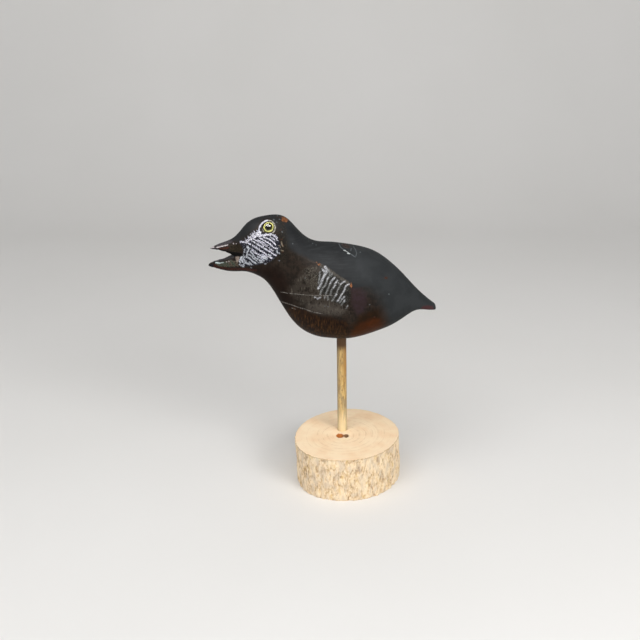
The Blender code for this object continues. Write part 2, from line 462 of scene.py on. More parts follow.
def spot_depth(pixels: np.ndarray, spots: Spots) -> np.ndarray:
    """Distance in pixels inside the nearest oval spot's edge, negative outside.

    Args:
        pixels: the points' pixels.
        spots: the spots.

    Returns:
        Each point's distance inside the nearest spot in pixels, negative outside.
    """
    depths = []
    for u, v, long, short, turn in spots:
        du, dv = pixels[:, 0] - u, pixels[:, 1] - v
        cosine, sine = math.cos(math.radians(turn)), math.sin(math.radians(turn))
        along, across = du * cosine + dv * sine, dv * cosine - du * sine
        depths.append((1.0 - np.hypot(along / long, across / short)) * min(long, short))
    return np.max(depths, axis=0)


# Patches of the bird's paint and wear, outlined in pixels of the photograph.
# Some of these patches are painted light and shade: the grey patches over the flank are partly
# painted sheen, and the gape's patch is painted shade.
CHARCOAL = (
    (190, 150), (470, 150), (470, 345), (398, 345), (392, 322), (387, 309), (386, 296),
    (383, 286), (365, 286), (353.8, 288.4), (349, 282), (334, 272.5), (320.2, 263.6),
    (313.8, 261.2), (304, 256.4), (294.6, 252.4), (287, 247), (283, 236), (277, 226),
    (270, 218), (262, 219), (257, 226), (250, 233), (243, 238), (232, 244), (190, 246),
)
THROAT = (
    (236, 268), (262, 266), (278, 266), (286, 276), (290, 292), (296, 310), (280, 325),
    (240, 300),
)
BREAST = (
    (279, 308), (296, 305), (312, 311), (330, 316), (347, 320), (353, 330), (350, 345),
    (300, 345), (280, 326),
)
MAROON = ((351, 288), (358, 286), (366, 292), (367, 303), (364, 312), (357, 315), (352, 304))
WORN_EDGE = (
    (352, 336), (353, 326), (360, 317), (372, 311), (380, 307), (389, 307), (393, 315),
    (388, 326), (376, 333), (364, 338), (354, 342),
)
WORN = ((350, 342), (353, 332), (360, 325), (371, 320), (380, 319), (384, 324), (376, 333),
        (363, 341))
TAIL_EDGE = ((423, 306.2), (428, 305.4), (433, 306), (434, 311), (424, 312), (421, 308.4))
# Grey over the shoulder and flank: partly worn paint, partly painted sheen, a reflection of soft
# light.
FLANK_WEAR_AND_SHEEN = (
    (292, 281), (303, 270), (318, 266), (322, 290), (346, 306), (350, 315), (322, 313),
    (300, 304), (288, 292),
)
# Low on the flank: painted sheen, a reflection of soft light, over worn paint.
SHEEN = ((304, 303), (322, 302), (340, 305), (348, 311), (341, 317), (322, 317), (305, 311))
REAR = ((340, 240), (380, 240), (450, 300), (450, 330), (390, 330), (376, 300), (352, 280))
HEAD_SIDE = (
    (275, 213), (284, 221), (288, 240), (288, 256), (282, 263), (278, 256), (280, 244),
    (278, 232),
)
DOTTED = ((304, 269), (313, 265), (319, 268), (320, 284), (317, 291), (308, 287), (304, 280))
SHOULDER = (
    (318.5, 264.0), (326.4, 266.3), (336, 273), (351, 283.5), (351, 297), (347, 306),
    (340, 306), (331, 302), (322, 295), (316.5, 290), (317, 280), (319.5, 272),
)
CHEEK = (
    (240.5, 241.3), (244.6, 240), (248.5, 238), (252.9, 234.8), (257.2, 230.4), (259.7, 229.0),
    (262, 233), (268, 234), (273, 234), (277.0, 235.6), (279, 239.8), (280.5, 244.3),
    (279.9, 250.9), (276.5, 256.4), (270, 261.8), (262, 264), (250, 266), (241.3, 266.4),
    (239.4, 263.1), (240.5, 258), (243.6, 254.6), (243.4, 249.6), (241.8, 246.5), (240.3, 243.3),
)
BILL = (
    (200, 236), (226, 239), (236, 241.5), (242, 245), (243, 250), (243.5, 256), (240, 259),
    (240, 264), (250, 267.5), (256, 272), (200, 276),
)
BILL_BASE = ((229, 244.5), (240, 244), (242, 247.5), (241, 251.5), (230, 252))
LOWER_BILL = ((216, 263.6), (224, 262), (230, 260), (237.5, 261.5), (238.5, 266.2), (228, 267),
              (218, 266))
BEIGE = ((235.2, 256.6), (239.4, 256.0), (239.2, 259.4), (237.8, 262.6), (236.4, 262))
# Painted shade: near-black inside the open bill, in the gape.
MOUTH_SHADE = (
    (208, 249.2), (218, 249.4), (224, 250.2), (229.6, 251.6), (236, 252.6), (243, 254.2),
    (243, 256), (230, 256.4), (224, 253.6), (208, 252),
)

# Strokes: half their width and their course, in the same pixels.
# Some strokes are painted light and shade: the rib highlights, the bill's glints, its teal
# highlight and sky reflection, and the shade under its edges.
CHEEK_WHITE = (
    (0.8, ((240.6, 241.9), (245.2, 242.2), (248.2, 241.2))),
    (1.2, ((246.4, 241.4), (248.8, 239.8), (251.6, 238.2), (254.6, 236.6), (257.4, 234.6))),
    (1.5, ((249.6, 239.2), (254.0, 236.9), (258.2, 234.0), (259.6, 232.4))),
    (0.7, ((248.4, 237.4), (250.6, 236.6), (253.0, 234.6), (255.2, 233.2))),
    (1.3, ((256.6, 233.6), (258.2, 232.2), (259.4, 232.8), (260.6, 234.8))),
    (1.1, ((259.4, 232.6), (261.0, 235.2))),
    (1.15, ((255.5, 235.7), (259.3, 235.9), (263.5, 235.4), (268.1, 234.8))),
    (0.5, ((266.0, 233.6), (266.8, 234.2))),
    (0.5, ((270.0, 233.7), (271.4, 233.7))),
    (0.4, ((244.7, 237.7), (246.2, 240.1))),
    (0.45, ((248.0, 235.8), (249.1, 237.9))),
    (0.4, ((250.5, 234.2), (251.6, 236.0))),
    (0.35, ((252.4, 232.7), (253.8, 234.6))),
    (0.4, ((254.0, 231.4), (255.4, 233.4))),
    (0.45, ((256.6, 229.6), (257.6, 232.0))),
    (0.7, ((245.2, 242.3), (248.2, 243.3), (251.9, 244.7), (254.4, 246.7), (257.4, 249.1),
           (260.5, 250.8), (263.2, 252.4), (266.6, 255.0), (269.7, 257.4), (271.8, 258.2))),
    (0.68, ((251.9, 240.9), (255.0, 242.7), (258.7, 245.2), (262.3, 247.3), (265.4, 249.1),
            (269.1, 251.3), (272.7, 253.7), (275.8, 255.6))),
    (0.6, ((253.6, 239.2), (256.8, 240.9), (260.5, 242.7), (263.5, 244.9), (266.0, 246.2),
           (268.5, 247.8), (271.0, 249.5), (273.3, 251.1))),
    (0.5, ((257.1, 239.7), (260.5, 241.2), (263.0, 242.4), (265.4, 244.4), (268.2, 245.6))),
    (0.66, ((259.3, 237.7), (262.9, 239.7), (266.0, 241.5), (268.8, 243.0), (270.6, 244.4),
            (272.1, 246.4), (274.6, 248.2), (277.4, 248.7))),
    (0.66, ((263.5, 237.4), (266.6, 238.3), (269.7, 239.5), (272.1, 241.3), (274.0, 242.9),
            (275.5, 244.8))),
    (0.95, ((268.1, 235.0), (271.4, 234.6), (274.4, 235.8), (276.4, 237.6), (277.2, 239.8))),
    (0.55, ((270.6, 237.2), (273.3, 238.8), (274.8, 240.2))),
    (0.66, ((251.6, 249.1), (253.8, 251.9), (257.4, 254.0), (260.5, 256.2), (263.5, 258.0))),
    (0.55, ((262.5, 254.8), (266.6, 257.0))),
    (0.4, ((256.0, 246.4), (256.6, 248.0))),
    (0.35, ((259.2, 248.6), (259.0, 249.6))),
    (0.4, ((262.6, 245.6), (263.4, 246.8))),
    (0.35, ((269.6, 248.6), (270.6, 248.4))),
    (0.4, ((272.8, 250.8), (273.8, 250.2))),
)
EYE_RING = (
    (0.75, ((259.6, 227.0), (260.4, 225.2), (262.2, 223.0), (265.2, 220.9), (267.4, 220.3))),
    (0.5, ((258.9, 231.2), (259.0, 228.8), (259.6, 227.0))),
)
EYE_RING_DIM = (
    (0.6, ((268.0, 220.1), (271.6, 221.1), (274.2, 224.0), (275.3, 227.6), (274.6, 230.6),
           (273.0, 232.6))),
    (0.3, ((263.6, 231.6), (262.6, 229.0))),
)
CHEEK_GREY = (
    (0.7, ((263.5, 258.0), (266.6, 259.5))),
    (0.65, ((250.7, 251.6), (253.1, 254.7), (255.0, 257.4), (258.0, 259.5), (261.4, 261.1))),
    (0.65, ((246.1, 256.5), (249.2, 258.3), (252.5, 261.4), (255.9, 263.5))),
    (0.85, ((243.0, 254.9), (241.2, 257.7), (239.6, 261.4))),
    (0.7, ((244.0, 259.5), (246.1, 262.9), (249.5, 264.4))),
    (0.6, ((241.5, 258.6), (243.0, 262.6))),
    (0.6, ((247.3, 251.9), (246.7, 255.3), (246.1, 257.4))),
    (0.5, ((244.6, 249.1), (244.3, 252.2))),
    (1.2, ((247.6, 247.0), (248.6, 248.6))),
    (0.6, ((248.8, 250.0), (247.6, 252.2))),
    (0.9, ((261.0, 255.4), (266.6, 258.0))),
    (0.7, ((268.4, 254.6), (270.6, 256.0))),
    (0.5, ((276.7, 250.4), (277.6, 252.8))),
    (0.45, ((279.3, 253.2), (279.9, 253.9))),
    (0.5, ((279.1, 260.6), (279.4, 261.0))),
    (0.5, ((239.4, 264.5), (242.0, 259.5), (244.5, 256.5))),
    (0.5, ((246.5, 261.0), (243.5, 264.5))),
    (0.5, ((252.2, 257.5), (256.8, 261.0))),
    (0.5, ((249.3, 262.3), (251.5, 264.8))),
    (0.45, ((248.6, 254.4), (252.4, 256.4))),
    (0.45, ((257.4, 256.2), (261.2, 258.6), (264.0, 261.0))),
    (0.45, ((240.6, 265.4), (244.0, 265.8))),
    (0.4, ((254.6, 251.2), (256.0, 252.4))),
    (0.4, ((242.6, 266.4), (243.6, 266.6))),
    (0.25, ((250.6, 267.4), (251.6, 267.6))),
    (0.25, ((264.6, 264.2), (266.2, 263.6))),
    (0.4, ((258.4, 262.6), (262.4, 262.4))),
)
CHEEK_TAN = (
    (0.55, ((281.6, 242.1), (281.9, 244.9), (283.1, 246.7))),
    (0.5, ((279.2, 245.8), (280.2, 247.0))),
    (0.45, ((281.3, 250.4), (283.4, 251.0))),
)
# Painted highlights on the shoulder's rib crests, where the glossy ridges catch the light; the
# carving follows the same strokes.
RIB_HIGHLIGHTS = (
    (1.0, ((325.2, 266.9), (326.6, 269.5), (326.3, 272.4), (324.6, 275.0), (323.2, 277.6))),
    (0.8, ((323.2, 277.6), (321.6, 281.0), (320.8, 284.0), (319.6, 286.4), (318.0, 288.4))),
    (0.6, ((322.4, 269.2), (324.4, 271.8))),
    (0.55, ((328.2, 277.6), (327.2, 279.2))),
    (0.5, ((334.6, 277.6), (332.6, 279.5), (331.0, 281.5), (330.1, 283.6))),
    (0.45, ((337.3, 280.5), (336.0, 282.5), (334.9, 284.0))),
    (0.6, ((335.0, 285.5), (333.4, 287.6))),
    (0.4, ((345.0, 281.3), (342.4, 282.8), (340.8, 284.2))),
    (0.4, ((336.5, 294.2), (335.6, 296.0))),
    (0.5, ((349.0, 284.2), (346.5, 285.4), (345.3, 287.0), (344.8, 289.5), (343.4, 292.0),
           (342.0, 293.8))),
    (0.45, ((340.8, 296.0), (339.8, 298.0), (338.5, 300.0), (337.2, 301.4))),
    (0.4, ((344.5, 296.5), (343.2, 298.0), (342.0, 299.2))),
    (0.42, ((344.8, 300.2), (344.0, 301.6))),
    (0.4, ((314.7, 297.3), (315.5, 297.3))),
    (0.42, ((317.2, 299.0), (320.2, 297.4))),
)
# Dimmer painted highlights on the lower rib crests.
RIB_HIGHLIGHTS_DIM = (
    (0.55, ((319.8, 272.4), (319.4, 277.0), (318.6, 283.4))),
    (0.6, ((328.4, 269.8), (329.6, 273.0), (329.4, 276.2), (327.4, 279.4), (326.2, 283.4),
           (324.6, 286.0), (322.6, 288.0), (321.0, 291.4), (320.4, 294.0))),
    (0.5, ((330.1, 283.6), (329.0, 286.6), (327.6, 289.2), (326.6, 292.0), (325.4, 294.2))),
    (0.5, ((333.4, 287.6), (332.0, 289.6), (331.0, 291.6), (330.3, 295.0))),
    (0.45, ((340.8, 284.2), (339.6, 286.6), (338.5, 288.6), (337.5, 290.6), (336.5, 294.2),
            (334.6, 297.0), (333.4, 299.0), (332.0, 301.0))),
    (0.5, ((342.0, 293.8), (340.8, 296.0))),
    (0.4, ((344.0, 301.6), (342.8, 303.2), (341.4, 304.8))),
    (0.4, ((341.4, 300.2), (339.6, 302.6))),
    (0.4, ((347.6, 305.8), (346.2, 308.4))),
    (0.4, ((327.6, 296.6), (327.8, 300.0))),
    (0.35, ((325.0, 296.2), (324.2, 298.4))),
    (0.4, ((338.2, 282.2), (338.8, 284.0))),
    (0.35, ((332.2, 273.4), (331.2, 276.0))),
)
SHOULDER_EDGE = (
    (1.3, ((321.0, 265.4), (328.0, 269.0), (336.4, 275.4), (341.0, 278.4), (345.5, 281.2),
           (349.0, 283.8))),
)
BILL_GLINTS = (
    (0.42, ((216.6, 247.4), (220.7, 246.6), (224.4, 245.7), (227.5, 244.9))),
    (0.45, ((211.4, 247.8), (214.0, 247.0))),
    (0.35, ((233.4, 243.5), (233.6, 243.7))),
    (0.35, ((236.0, 243.5), (236.2, 243.7))),
    (0.3, ((226.5, 261.9), (226.7, 262.0))),
    (0.3, ((228.8, 261.3), (229.0, 261.4))),
)
# Painted highlight: pale teal along the lower bill's near edge.
BILL_TEAL_HIGHLIGHT = (
    (0.7, ((216.0, 262.6), (219.8, 263.2))),
    (0.3, ((219.8, 263.0), (223.6, 262.4))),
)
# Painted shade: black under the bill's tips and edges and along the gape's lower edge.
BILL_SHADE = (
    (0.45, ((209.6, 249.0), (213.5, 249.8), (218.0, 249.9))),
    (1.0, ((208.6, 266.0), (212.6, 265.4))),
    (0.6, ((214.2, 261.6), (217.0, 260.7), (221.0, 259.3), (228.0, 257.0), (234.0, 256.0))),
)
# Painted reflection: grey-blue where the bill's upward-facing edges catch the sky.
BILL_SKY_REFLECTION = (
    (1.2, ((217.5, 245.6), (224.0, 243.3), (231.0, 241.4))),
    (0.8, ((214.0, 248.4), (217.5, 248.4))),
    (0.9, ((216.5, 260.8), (225.0, 258.4), (233.0, 256.8))),
)
BILL_RED = (
    (0.9, ((214.0, 265.4), (218.5, 267.4), (231.4, 269.1), (244.8, 269.1), (256.0, 270.5))),
    (0.9, ((220.0, 248.9), (228.0, 247.6))),
)

# Chips and nicks seen from the camera's side: middle, half lengths and turn in degrees.
BARE = (
    (284.9, 219.0, 3.0, 2.5, 25), (318.7, 264.0, 1.4, 0.5, 35),
    (350.9, 285.6, 0.7, 1.4, -15),
)
RUBBED = (
    (276.7, 216.8, 0.6, 0.5, 0), (279.9, 217.2, 0.8, 0.6, 0), (281.9, 219.8, 0.7, 0.9, 0),
    (281.1, 229.9, 0.7, 0.6, 0), (283.4, 224.2, 0.6, 0.5, 0), (278.6, 213.9, 0.5, 0.4, 0),
    (281.7, 239.4, 0.8, 0.6, 0), (283.4, 245.6, 0.5, 0.8, 0), (282.4, 252.0, 0.9, 0.5, 10),
    (386.1, 277.9, 1.7, 1.3, 0), (374.5, 317.2, 0.9, 0.7, 0), (384.9, 321.8, 1.2, 0.5, -20),
)
KNOT = ((345.8, 245.6, 4.2, 2.1, 24),)
SCUFFS = (
    (0.42, ((343.9, 250.2), (345.4, 250.6))),
    (0.45, ((347.6, 253.2), (349.6, 253.5))),
    (0.22, ((345.4, 250.6), (348.6, 252.7))),
)
FAINT_SCUFFS = (
    (0.4, ((350.0, 253.4), (354.3, 256.3), (355.2, 256.8))),
    (0.35, ((338.9, 243.7), (340.5, 246.9), (343.7, 249.8))),
    (0.3, ((353.5, 246.5), (355.5, 249.4), (356.7, 253.0), (355.9, 255.9))),
    (0.45, ((351.2, 248.5), (350.8, 250.4))),
    (0.5, ((360.1, 252.0), (360.5, 252.0))),
    (0.4, ((312.6, 243.3), (312.8, 243.3))),
    (0.35, ((316.0, 244.8), (316.2, 244.8))),
    (0.45, ((369.7, 304.6), (369.9, 304.7))),
    (0.5, ((388.9, 294.1), (389.2, 294.1))),
    (0.45, ((292.7, 243.6), (292.9, 243.8))),
    (0.4, ((277.3, 215.6), (277.7, 215.7))),
    (0.55, ((273.4, 219.4), (274.2, 219.8))),
    (0.45, ((279.2, 219.0), (280.0, 219.4))),
    (0.4, ((282.0, 231.4), (282.4, 232.4))),
    (0.4, ((276.6, 222.0), (277.0, 222.4))),
    (0.45, ((324.7, 306.0), (325.0, 306.2))),
    (0.4, ((327.9, 306.7), (328.3, 306.9))),
    (0.4, ((305.1, 277.8), (305.1, 278.6))),
)
SCRATCHES = (
    (0.33, ((281.0, 292.0), (289.1, 293.4), (301.3, 294.6), (310.8, 295.3), (320.4, 295.6),
            (333.0, 295.8))),
    (0.33, ((280.5, 301.5), (289.1, 304.2), (298.7, 307.4), (306.4, 309.9), (313.4, 312.2),
            (322.0, 313.8))),
    (0.25, ((291.5, 308.0), (295.5, 309.5))),
    (0.25, ((302.0, 308.2), (309.0, 310.6))),
)


class Grain(Enum):
    """Noises that vary the paint: the size of their features in millimetres, along x, y, z."""

    BROAD = (14.0, 14.0, 14.0)
    BLOTCH = (4.0, 4.0, 4.0)
    FINE = (1.1, 1.1, 1.1)
    GRIT = (0.75, 0.75, 0.75)
    STREAK = (1.0, 1.0, 9.0)
    HAIR = (0.8, 6.0, 6.0)
    BRUSH = (16.0, 16.0, 1.3)


@dataclass(frozen=True)
class Coat:
    """One coat of paint, one kind of wear or one painted light or shade: where it lies, its
    colours and its edge.

    Its edge and how far that strays are in pixels of the photograph, which are about a
    millimetre each on the wood.
    """

    place: str
    colour: str
    mottle: str = ""
    mottled_by: Grain = Grain.BLOTCH
    edge: tuple[float, float] = (-0.4, 0.4)
    strays_by: Grain = Grain.FINE
    stray: float = 1.0
    broken_by: Grain = Grain.GRIT
    broken: tuple[float, float] | None = None
    strength: float = 1.0

    def lay(self, tree: bpy.types.NodeTree, grains: dict[Grain, bpy.types.NodeSocket],
            under: bpy.types.NodeSocket | str) -> tuple[bpy.types.NodeSocket, bpy.types.NodeSocket]:
        """Lays the coat over what is there.

        Args:
            tree: the material's node tree.
            grains: the paint's noises.
            under: the colour below.

        Returns:
            The colour with this coat on it, and the coat's share of the surface.
        """
        depth = add(tree, "ShaderNodeAttribute", out="Fac", attribute_name=self.place)
        strayed = add(tree, "ShaderNodeMath",
                      {0: grains[self.strays_by], 1: self.stray, 2: depth},
                      operation="MULTIPLY_ADD")
        low, high = (value + self.stray / 2 for value in self.edge)
        share = add(tree, "ShaderNodeMapRange",
                    {"Value": strayed, "From Min": low, "From Max": high,
                     "To Max": self.strength}, interpolation_type="SMOOTHSTEP")
        if self.broken:
            holes = add(tree, "ShaderNodeMapRange",
                        {"Value": grains[self.broken_by], "From Min": self.broken[0],
                         "From Max": self.broken[1]}, interpolation_type="SMOOTHSTEP")
            share = add(tree, "ShaderNodeMath", {0: share, 1: holes}, operation="MULTIPLY")
        over = self.colour
        if self.mottle:
            blotches = add(tree, "ShaderNodeMapRange",
                           {"Value": grains[self.mottled_by], "From Min": 0.38, "From Max": 0.62},
                           interpolation_type="SMOOTHSTEP")
            over = add(tree, "ShaderNodeMix", {SHARE: blotches, UNDER: over, OVER: self.mottle},
                       MIXED, data_type="RGBA")
        return add(tree, "ShaderNodeMix", {SHARE: share, UNDER: under, OVER: over}, MIXED,
                   data_type="RGBA"), share


@dataclass(frozen=True)
class DecoyPaint:
    """Oil paint brushed thin on carved pine, rubbed and chipped by handling.

    It gives a matte charcoal back, brown-black sides with a low gloss, dry-brushed white
    on the cheek's ridges and orange wood in the chips. Painted light and shade lie over them:
    painted sheen on the flank and shoulder, painted highlights on the rib crests and the bill,
    and painted shade in the gape and under the bill's edges.
    """

    sides: tuple[Coat, ...] = (
        Coat("flank", "#1c1713", "#29211b", Grain.BLOTCH, edge=(-1.0, 0.0)),
        Coat("flank", "#40382e", edge=(-1.0, 0.0), broken_by=Grain.STREAK, broken=(0.5, 0.8),
             strength=0.4),
        Coat("throat", "#130a06", "#1b0f09", Grain.BROAD, (-5.0, 7.0), Grain.BROAD, 5.0,
             strength=0.9),
        Coat("breast", "#150b06", "#20120a", Grain.BLOTCH, (-2.0, 5.0), Grain.BLOTCH, 6.0),
        Coat("breast", "#5f3f1c", edge=(-1.0, 9.0), strays_by=Grain.BLOTCH, stray=8.0,
             broken_by=Grain.HAIR, broken=(0.47, 0.64), strength=0.4),
        Coat("maroon", "#33262a", "#2b2021", Grain.BLOTCH, (-3.0, 3.0), Grain.BLOTCH, 8.0,
             strength=0.8),
        Coat("worn_edge", "#1f1308", "#2a1808", Grain.BROAD, (-4.0, 3.0), Grain.BLOTCH, 8.0),
        Coat("worn", "#431e03", "#381902", Grain.BROAD, (-4.0, 4.0), Grain.BLOTCH, 6.0),
        # Partly worn paint, partly painted sheen: grey reflection of soft light over the shoulder
        # and flank.
        Coat("flank_wear_and_sheen", "#544e46", "#37322c", Grain.BLOTCH, (-2.0, 5.0), Grain.BLOTCH, 8.0,
             broken_by=Grain.BLOTCH, broken=(0.4, 0.62), strength=0.7),
        Coat("flank_wear_and_sheen", "#8a8378", edge=(-2.0, 4.0), strays_by=Grain.BLOTCH, stray=8.0,
             broken_by=Grain.STREAK, broken=(0.55, 0.7), strength=0.36),
        # Painted sheen low on the flank, over worn paint.
        Coat("sheen", "#5d5750", "#47413b", Grain.FINE, (-1.5, 5.0), Grain.BROAD, 6.0,
             Grain.FINE, (0.3, 0.62), 0.7),
        Coat("dotted", "#6b685d", edge=(-1.0, 2.0), stray=3.0, broken=(0.54, 0.66), strength=0.8),
    )
    back: tuple[Coat, ...] = (
        Coat("charcoal", "#212223", "#252627", Grain.BROAD, (-1.4, 1.4), Grain.BLOTCH, 4.0),
    )
    details: tuple[Coat, ...] = (
        Coat("charcoal", "#353738", edge=(0.0, 9.0), strays_by=Grain.BROAD, stray=8.0,
             broken_by=Grain.BRUSH, broken=(0.48, 0.66), strength=0.4),
        Coat("rear", "#2a2c2d", "#2f3132", Grain.BROAD, (-8.0, 14.0), Grain.BROAD, 6.0),
        Coat("head_side", "#191613", edge=(-3.0, 3.0), stray=3.0, strength=0.65),
        Coat("head_side", "#4c3a28", "#343026", Grain.FINE, (-2.0, 2.0), Grain.FINE, 3.0,
             Grain.FINE, (0.5, 0.66), 0.8),
        Coat("tail_edge", "#45292a", edge=(-0.8, 0.8), stray=2.0, strength=0.8),
        Coat("bill", "#171311", "#2a221e", Grain.FINE, (-1.0, 1.0), Grain.FINE, 2.0),
        Coat("bill_base", "#1a150f", "#2e271c", Grain.FINE, (-1.0, 1.0), Grain.FINE, 2.0),
        Coat("lower_bill", "#352d27", "#574d43", Grain.FINE, (-0.8, 0.8), Grain.FINE, 2.0),
        Coat("lower_bill", "#303b31", "#454f44", Grain.FINE, (-0.6, 0.8), Grain.FINE, 2.0,
             Grain.BLOTCH, (0.42, 0.56), 0.75),
        Coat("beige", "#93857b", "#6f635b", Grain.FINE, (-0.6, 0.6), Grain.FINE, 1.6),
        # Painted reflection of the sky on the bill's upward-facing edges.
        Coat("bill_sky_reflection", "#4a4548", "#2c292c", Grain.FINE, (-0.9, 0.5), Grain.FINE, 2.4,
             strength=0.9),
        Coat("bill_red", "#230f0a", "#3d2119", Grain.FINE, (-0.8, 0.5), Grain.FINE, 1.6),
        Coat("cheek", "#100f16", "#1a1921", Grain.FINE, (-0.8, 0.6), Grain.FINE, 3.0),
        Coat("cheek", "#a9aebb", edge=(-1.0, 0.5), broken=(0.55, 0.66), strength=0.45),
        Coat("cheek_grey", "#e0e3ea", "#8f949d", Grain.FINE, (-0.45, 0.3), Grain.FINE, 3.8,
             broken=(0.38, 0.48)),
        Coat("cheek_white", "#fdfbff", "#c3c2d4", Grain.FINE, (-0.24, 0.3), Grain.FINE, 3.6,
             broken=(0.42, 0.52)),
        Coat("cheek_tan", "#877b6a", edge=(-0.3, 0.3), strays_by=Grain.GRIT, stray=2.4,
             strength=0.8),
        Coat("eye_ring_dim", "#bfbbab", "#8d897c", Grain.FINE, (-0.3, 0.25), Grain.FINE, 2.0),
        Coat("eye_ring", "#e9e7f0", "#a9a8b2", Grain.FINE, (-0.3, 0.25), Grain.FINE, 2.4),
        Coat("shoulder", "#151413", "#2a2925", Grain.FINE, (-0.5, 2.5), Grain.FINE, 3.0,
             strength=0.85),
        # Painted sheen: a faint silver over the shoulder's ribs.
        Coat("shoulder", "#74746f", edge=(-0.5, 2.5), strays_by=Grain.FINE, stray=3.0,
             broken_by=Grain.FINE, broken=(0.52, 0.7), strength=0.3),
        Coat("shoulder_edge", "#746e66", "#3f3c37", Grain.FINE, (-0.9, 0.7), Grain.FINE, 3.2,
             Grain.FINE, (0.36, 0.56), 0.85),
        # Painted highlights on the rib crests.
        Coat("rib_highlights_dim", "#8d8d8c", "#5c5d5c", Grain.FINE, (-0.8, 0.5), Grain.GRIT, 2.4,
             broken=(0.35, 0.52)),
        Coat("rib_highlights", "#bbbabc", "#83858a", Grain.FINE, (-0.8, 0.5), Grain.GRIT, 2.8,
             broken=(0.36, 0.5)),
        # Painted shade inside the gape of the bill.
        Coat("mouth_shade", "#060504", edge=(-0.8, 0.3), stray=0.6),
        # Painted shade under the bill's tips and edges.
        Coat("bill_shade", "#0b0b0f", "#1e2029", Grain.FINE, (-0.6, 0.3), Grain.FINE, 1.0),
        # Painted highlight on the lower bill's near edge.
        Coat("bill_teal_highlight", "#c4d0ce", "#8f9f9e", Grain.FINE, (-0.4, 0.3), Grain.FINE, 1.6),
        Coat("glint", "#d9d0d0", "#a79c9c", Grain.FINE, (-0.4, 0.3), Grain.GRIT, 1.6),
        Coat("scratch", "#85807a", edge=(-0.3, 0.15), stray=0.8, broken_by=Grain.FINE,
             broken=(0.38, 0.58), strength=0.65),
        Coat("faint_scuff", "#5c6062", edge=(-0.3, 0.2), stray=0.8, strength=0.75),
        Coat("scuff", "#b6bab8", edge=(-0.3, 0.2), stray=0.8),
        Coat("knot", "#231a17", "#413733", Grain.FINE, (-0.6, 0.5), Grain.FINE, 2.0),
        Coat("rubbed", "#4c2b1d", "#372118", Grain.FINE, (-0.4, 0.4), Grain.FINE, 1.6,
             strength=0.8),
        Coat("bare", "#4d2912", "#935f3c", Grain.FINE, (-0.6, 0.5), Grain.FINE, 6.0),
    )

    def make(self) -> bpy.types.Material:
        """Makes the material.

        Returns:
            The material.
        """
        material, tree = new_material("brushed_oil_paint")
        place = add(tree, "ShaderNodeTexCoord", out="Object")
        grains = {}
        for grain_kind in Grain:
            scale = tuple(per_mm(size) for size in grain_kind.value)
            stretched = add(tree, "ShaderNodeMapping", {"Vector": place, "Scale": scale})
            grains[grain_kind] = add(
                tree, "ShaderNodeTexNoise",
                {"Vector": stretched, "Scale": 1.0, "Detail": 3.0, "Roughness": 0.6}, "Fac")
        colour = self.sides[0].colour
        for coat in self.sides:
            colour, _ = coat.lay(tree, grains, colour)
        for coat in self.back:
            colour, matte = coat.lay(tree, grains, colour)
        for coat in self.details:
            colour, _ = coat.lay(tree, grains, colour)
        gloss = add(tree, "ShaderNodeMapRange", {"Value": matte, "To Min": 0.4, "To Max": 0.58})
        rough = add(tree, "ShaderNodeMath", {0: grains[Grain.FINE], 1: 0.16, 2: gloss},
                    operation="MULTIPLY_ADD")
        brushed = add(tree, "ShaderNodeMath", {0: grains[Grain.FINE], 1: grains[Grain.STREAK]},
                      operation="ADD")
        bump = add(tree, "ShaderNodeBump",
                   {"Height": brushed, "Strength": 0.4, "Distance": 0.16 * MM})
        shader = add(tree, "ShaderNodeBsdfPrincipled",
                     {"Base Color": colour, "Roughness": rough, "Normal": bump,
                      "Specular IOR Level": 0.06})
        surface(tree, shader)
        return material


@dataclass(frozen=True)
class EyeGlass:
    """Clear moulded glass. It gives the eye its bright, hard window glint."""

    tint: str = "#fdfdf8"

    def make(self) -> bpy.types.Material:
        """Makes the material.

        Returns:
            The material.
        """
        material, tree = new_material("moulded_eye_glass")
        shader = add(tree, "ShaderNodeBsdfPrincipled",
                     {"Base Color": self.tint, "Roughness": 0.015, "IOR": 1.5,
                      "Transmission Weight": 1.0})
        surface(tree, shader)
        return material


@dataclass(frozen=True)
class EyeEnamel:
    """Enamel painted on the flat back of a glass eye.

    It gives a black pupil in an olive to pale yellow iris, with no gloss of its own.
    """

    pupil: str = "#0b0903"
    olive: str = "#4f4c18"
    iris: str = "#7d7a2c"
    iris_pale: str = "#b9b679"
    border: str = "#2b2a10"
    pupil_size: float = 2.9
    iris_size: float = 4.0
    back_size: float = 5.0

    def make(self) -> bpy.types.Material:
        """Makes the material. It reads each vertex's distance from the eye's axis, in mm.

        Returns:
            The material.
        """
        material, tree = new_material("painted_eye_enamel")
        radius = add(tree, "ShaderNodeAttribute", out="Fac", attribute_name="from_axis")
        place = add(tree, "ShaderNodeTexCoord", out="Object")
        fleck = add(tree, "ShaderNodeTexNoise", {"Vector": place, "Scale": per_mm(0.7)}, "Fac")
        strayed = add(tree, "ShaderNodeMath", {0: fleck, 1: 0.2, 2: radius},
                      operation="MULTIPLY_ADD")
        share = add(tree, "ShaderNodeMath", {0: strayed, 1: self.back_size}, operation="DIVIDE")
        pupil, iris = self.pupil_size / self.back_size, self.iris_size / self.back_size
        colour = add(tree, "ShaderNodeValToRGB", {"Fac": share}, "Color", stops=(
            (0.0, self.pupil), (pupil - 0.1, self.pupil), (pupil - 0.02, self.olive),
            (pupil + 0.04, self.iris), (pupil + 0.09, self.iris_pale),
            (iris - 0.07, self.iris_pale), (iris, self.iris), (iris + 0.06, self.border)))
        shader = add(tree, "ShaderNodeBsdfPrincipled",
                     {"Base Color": colour, "Roughness": 0.9, "Specular IOR Level": 0.0})
        surface(tree, shader)
        return material


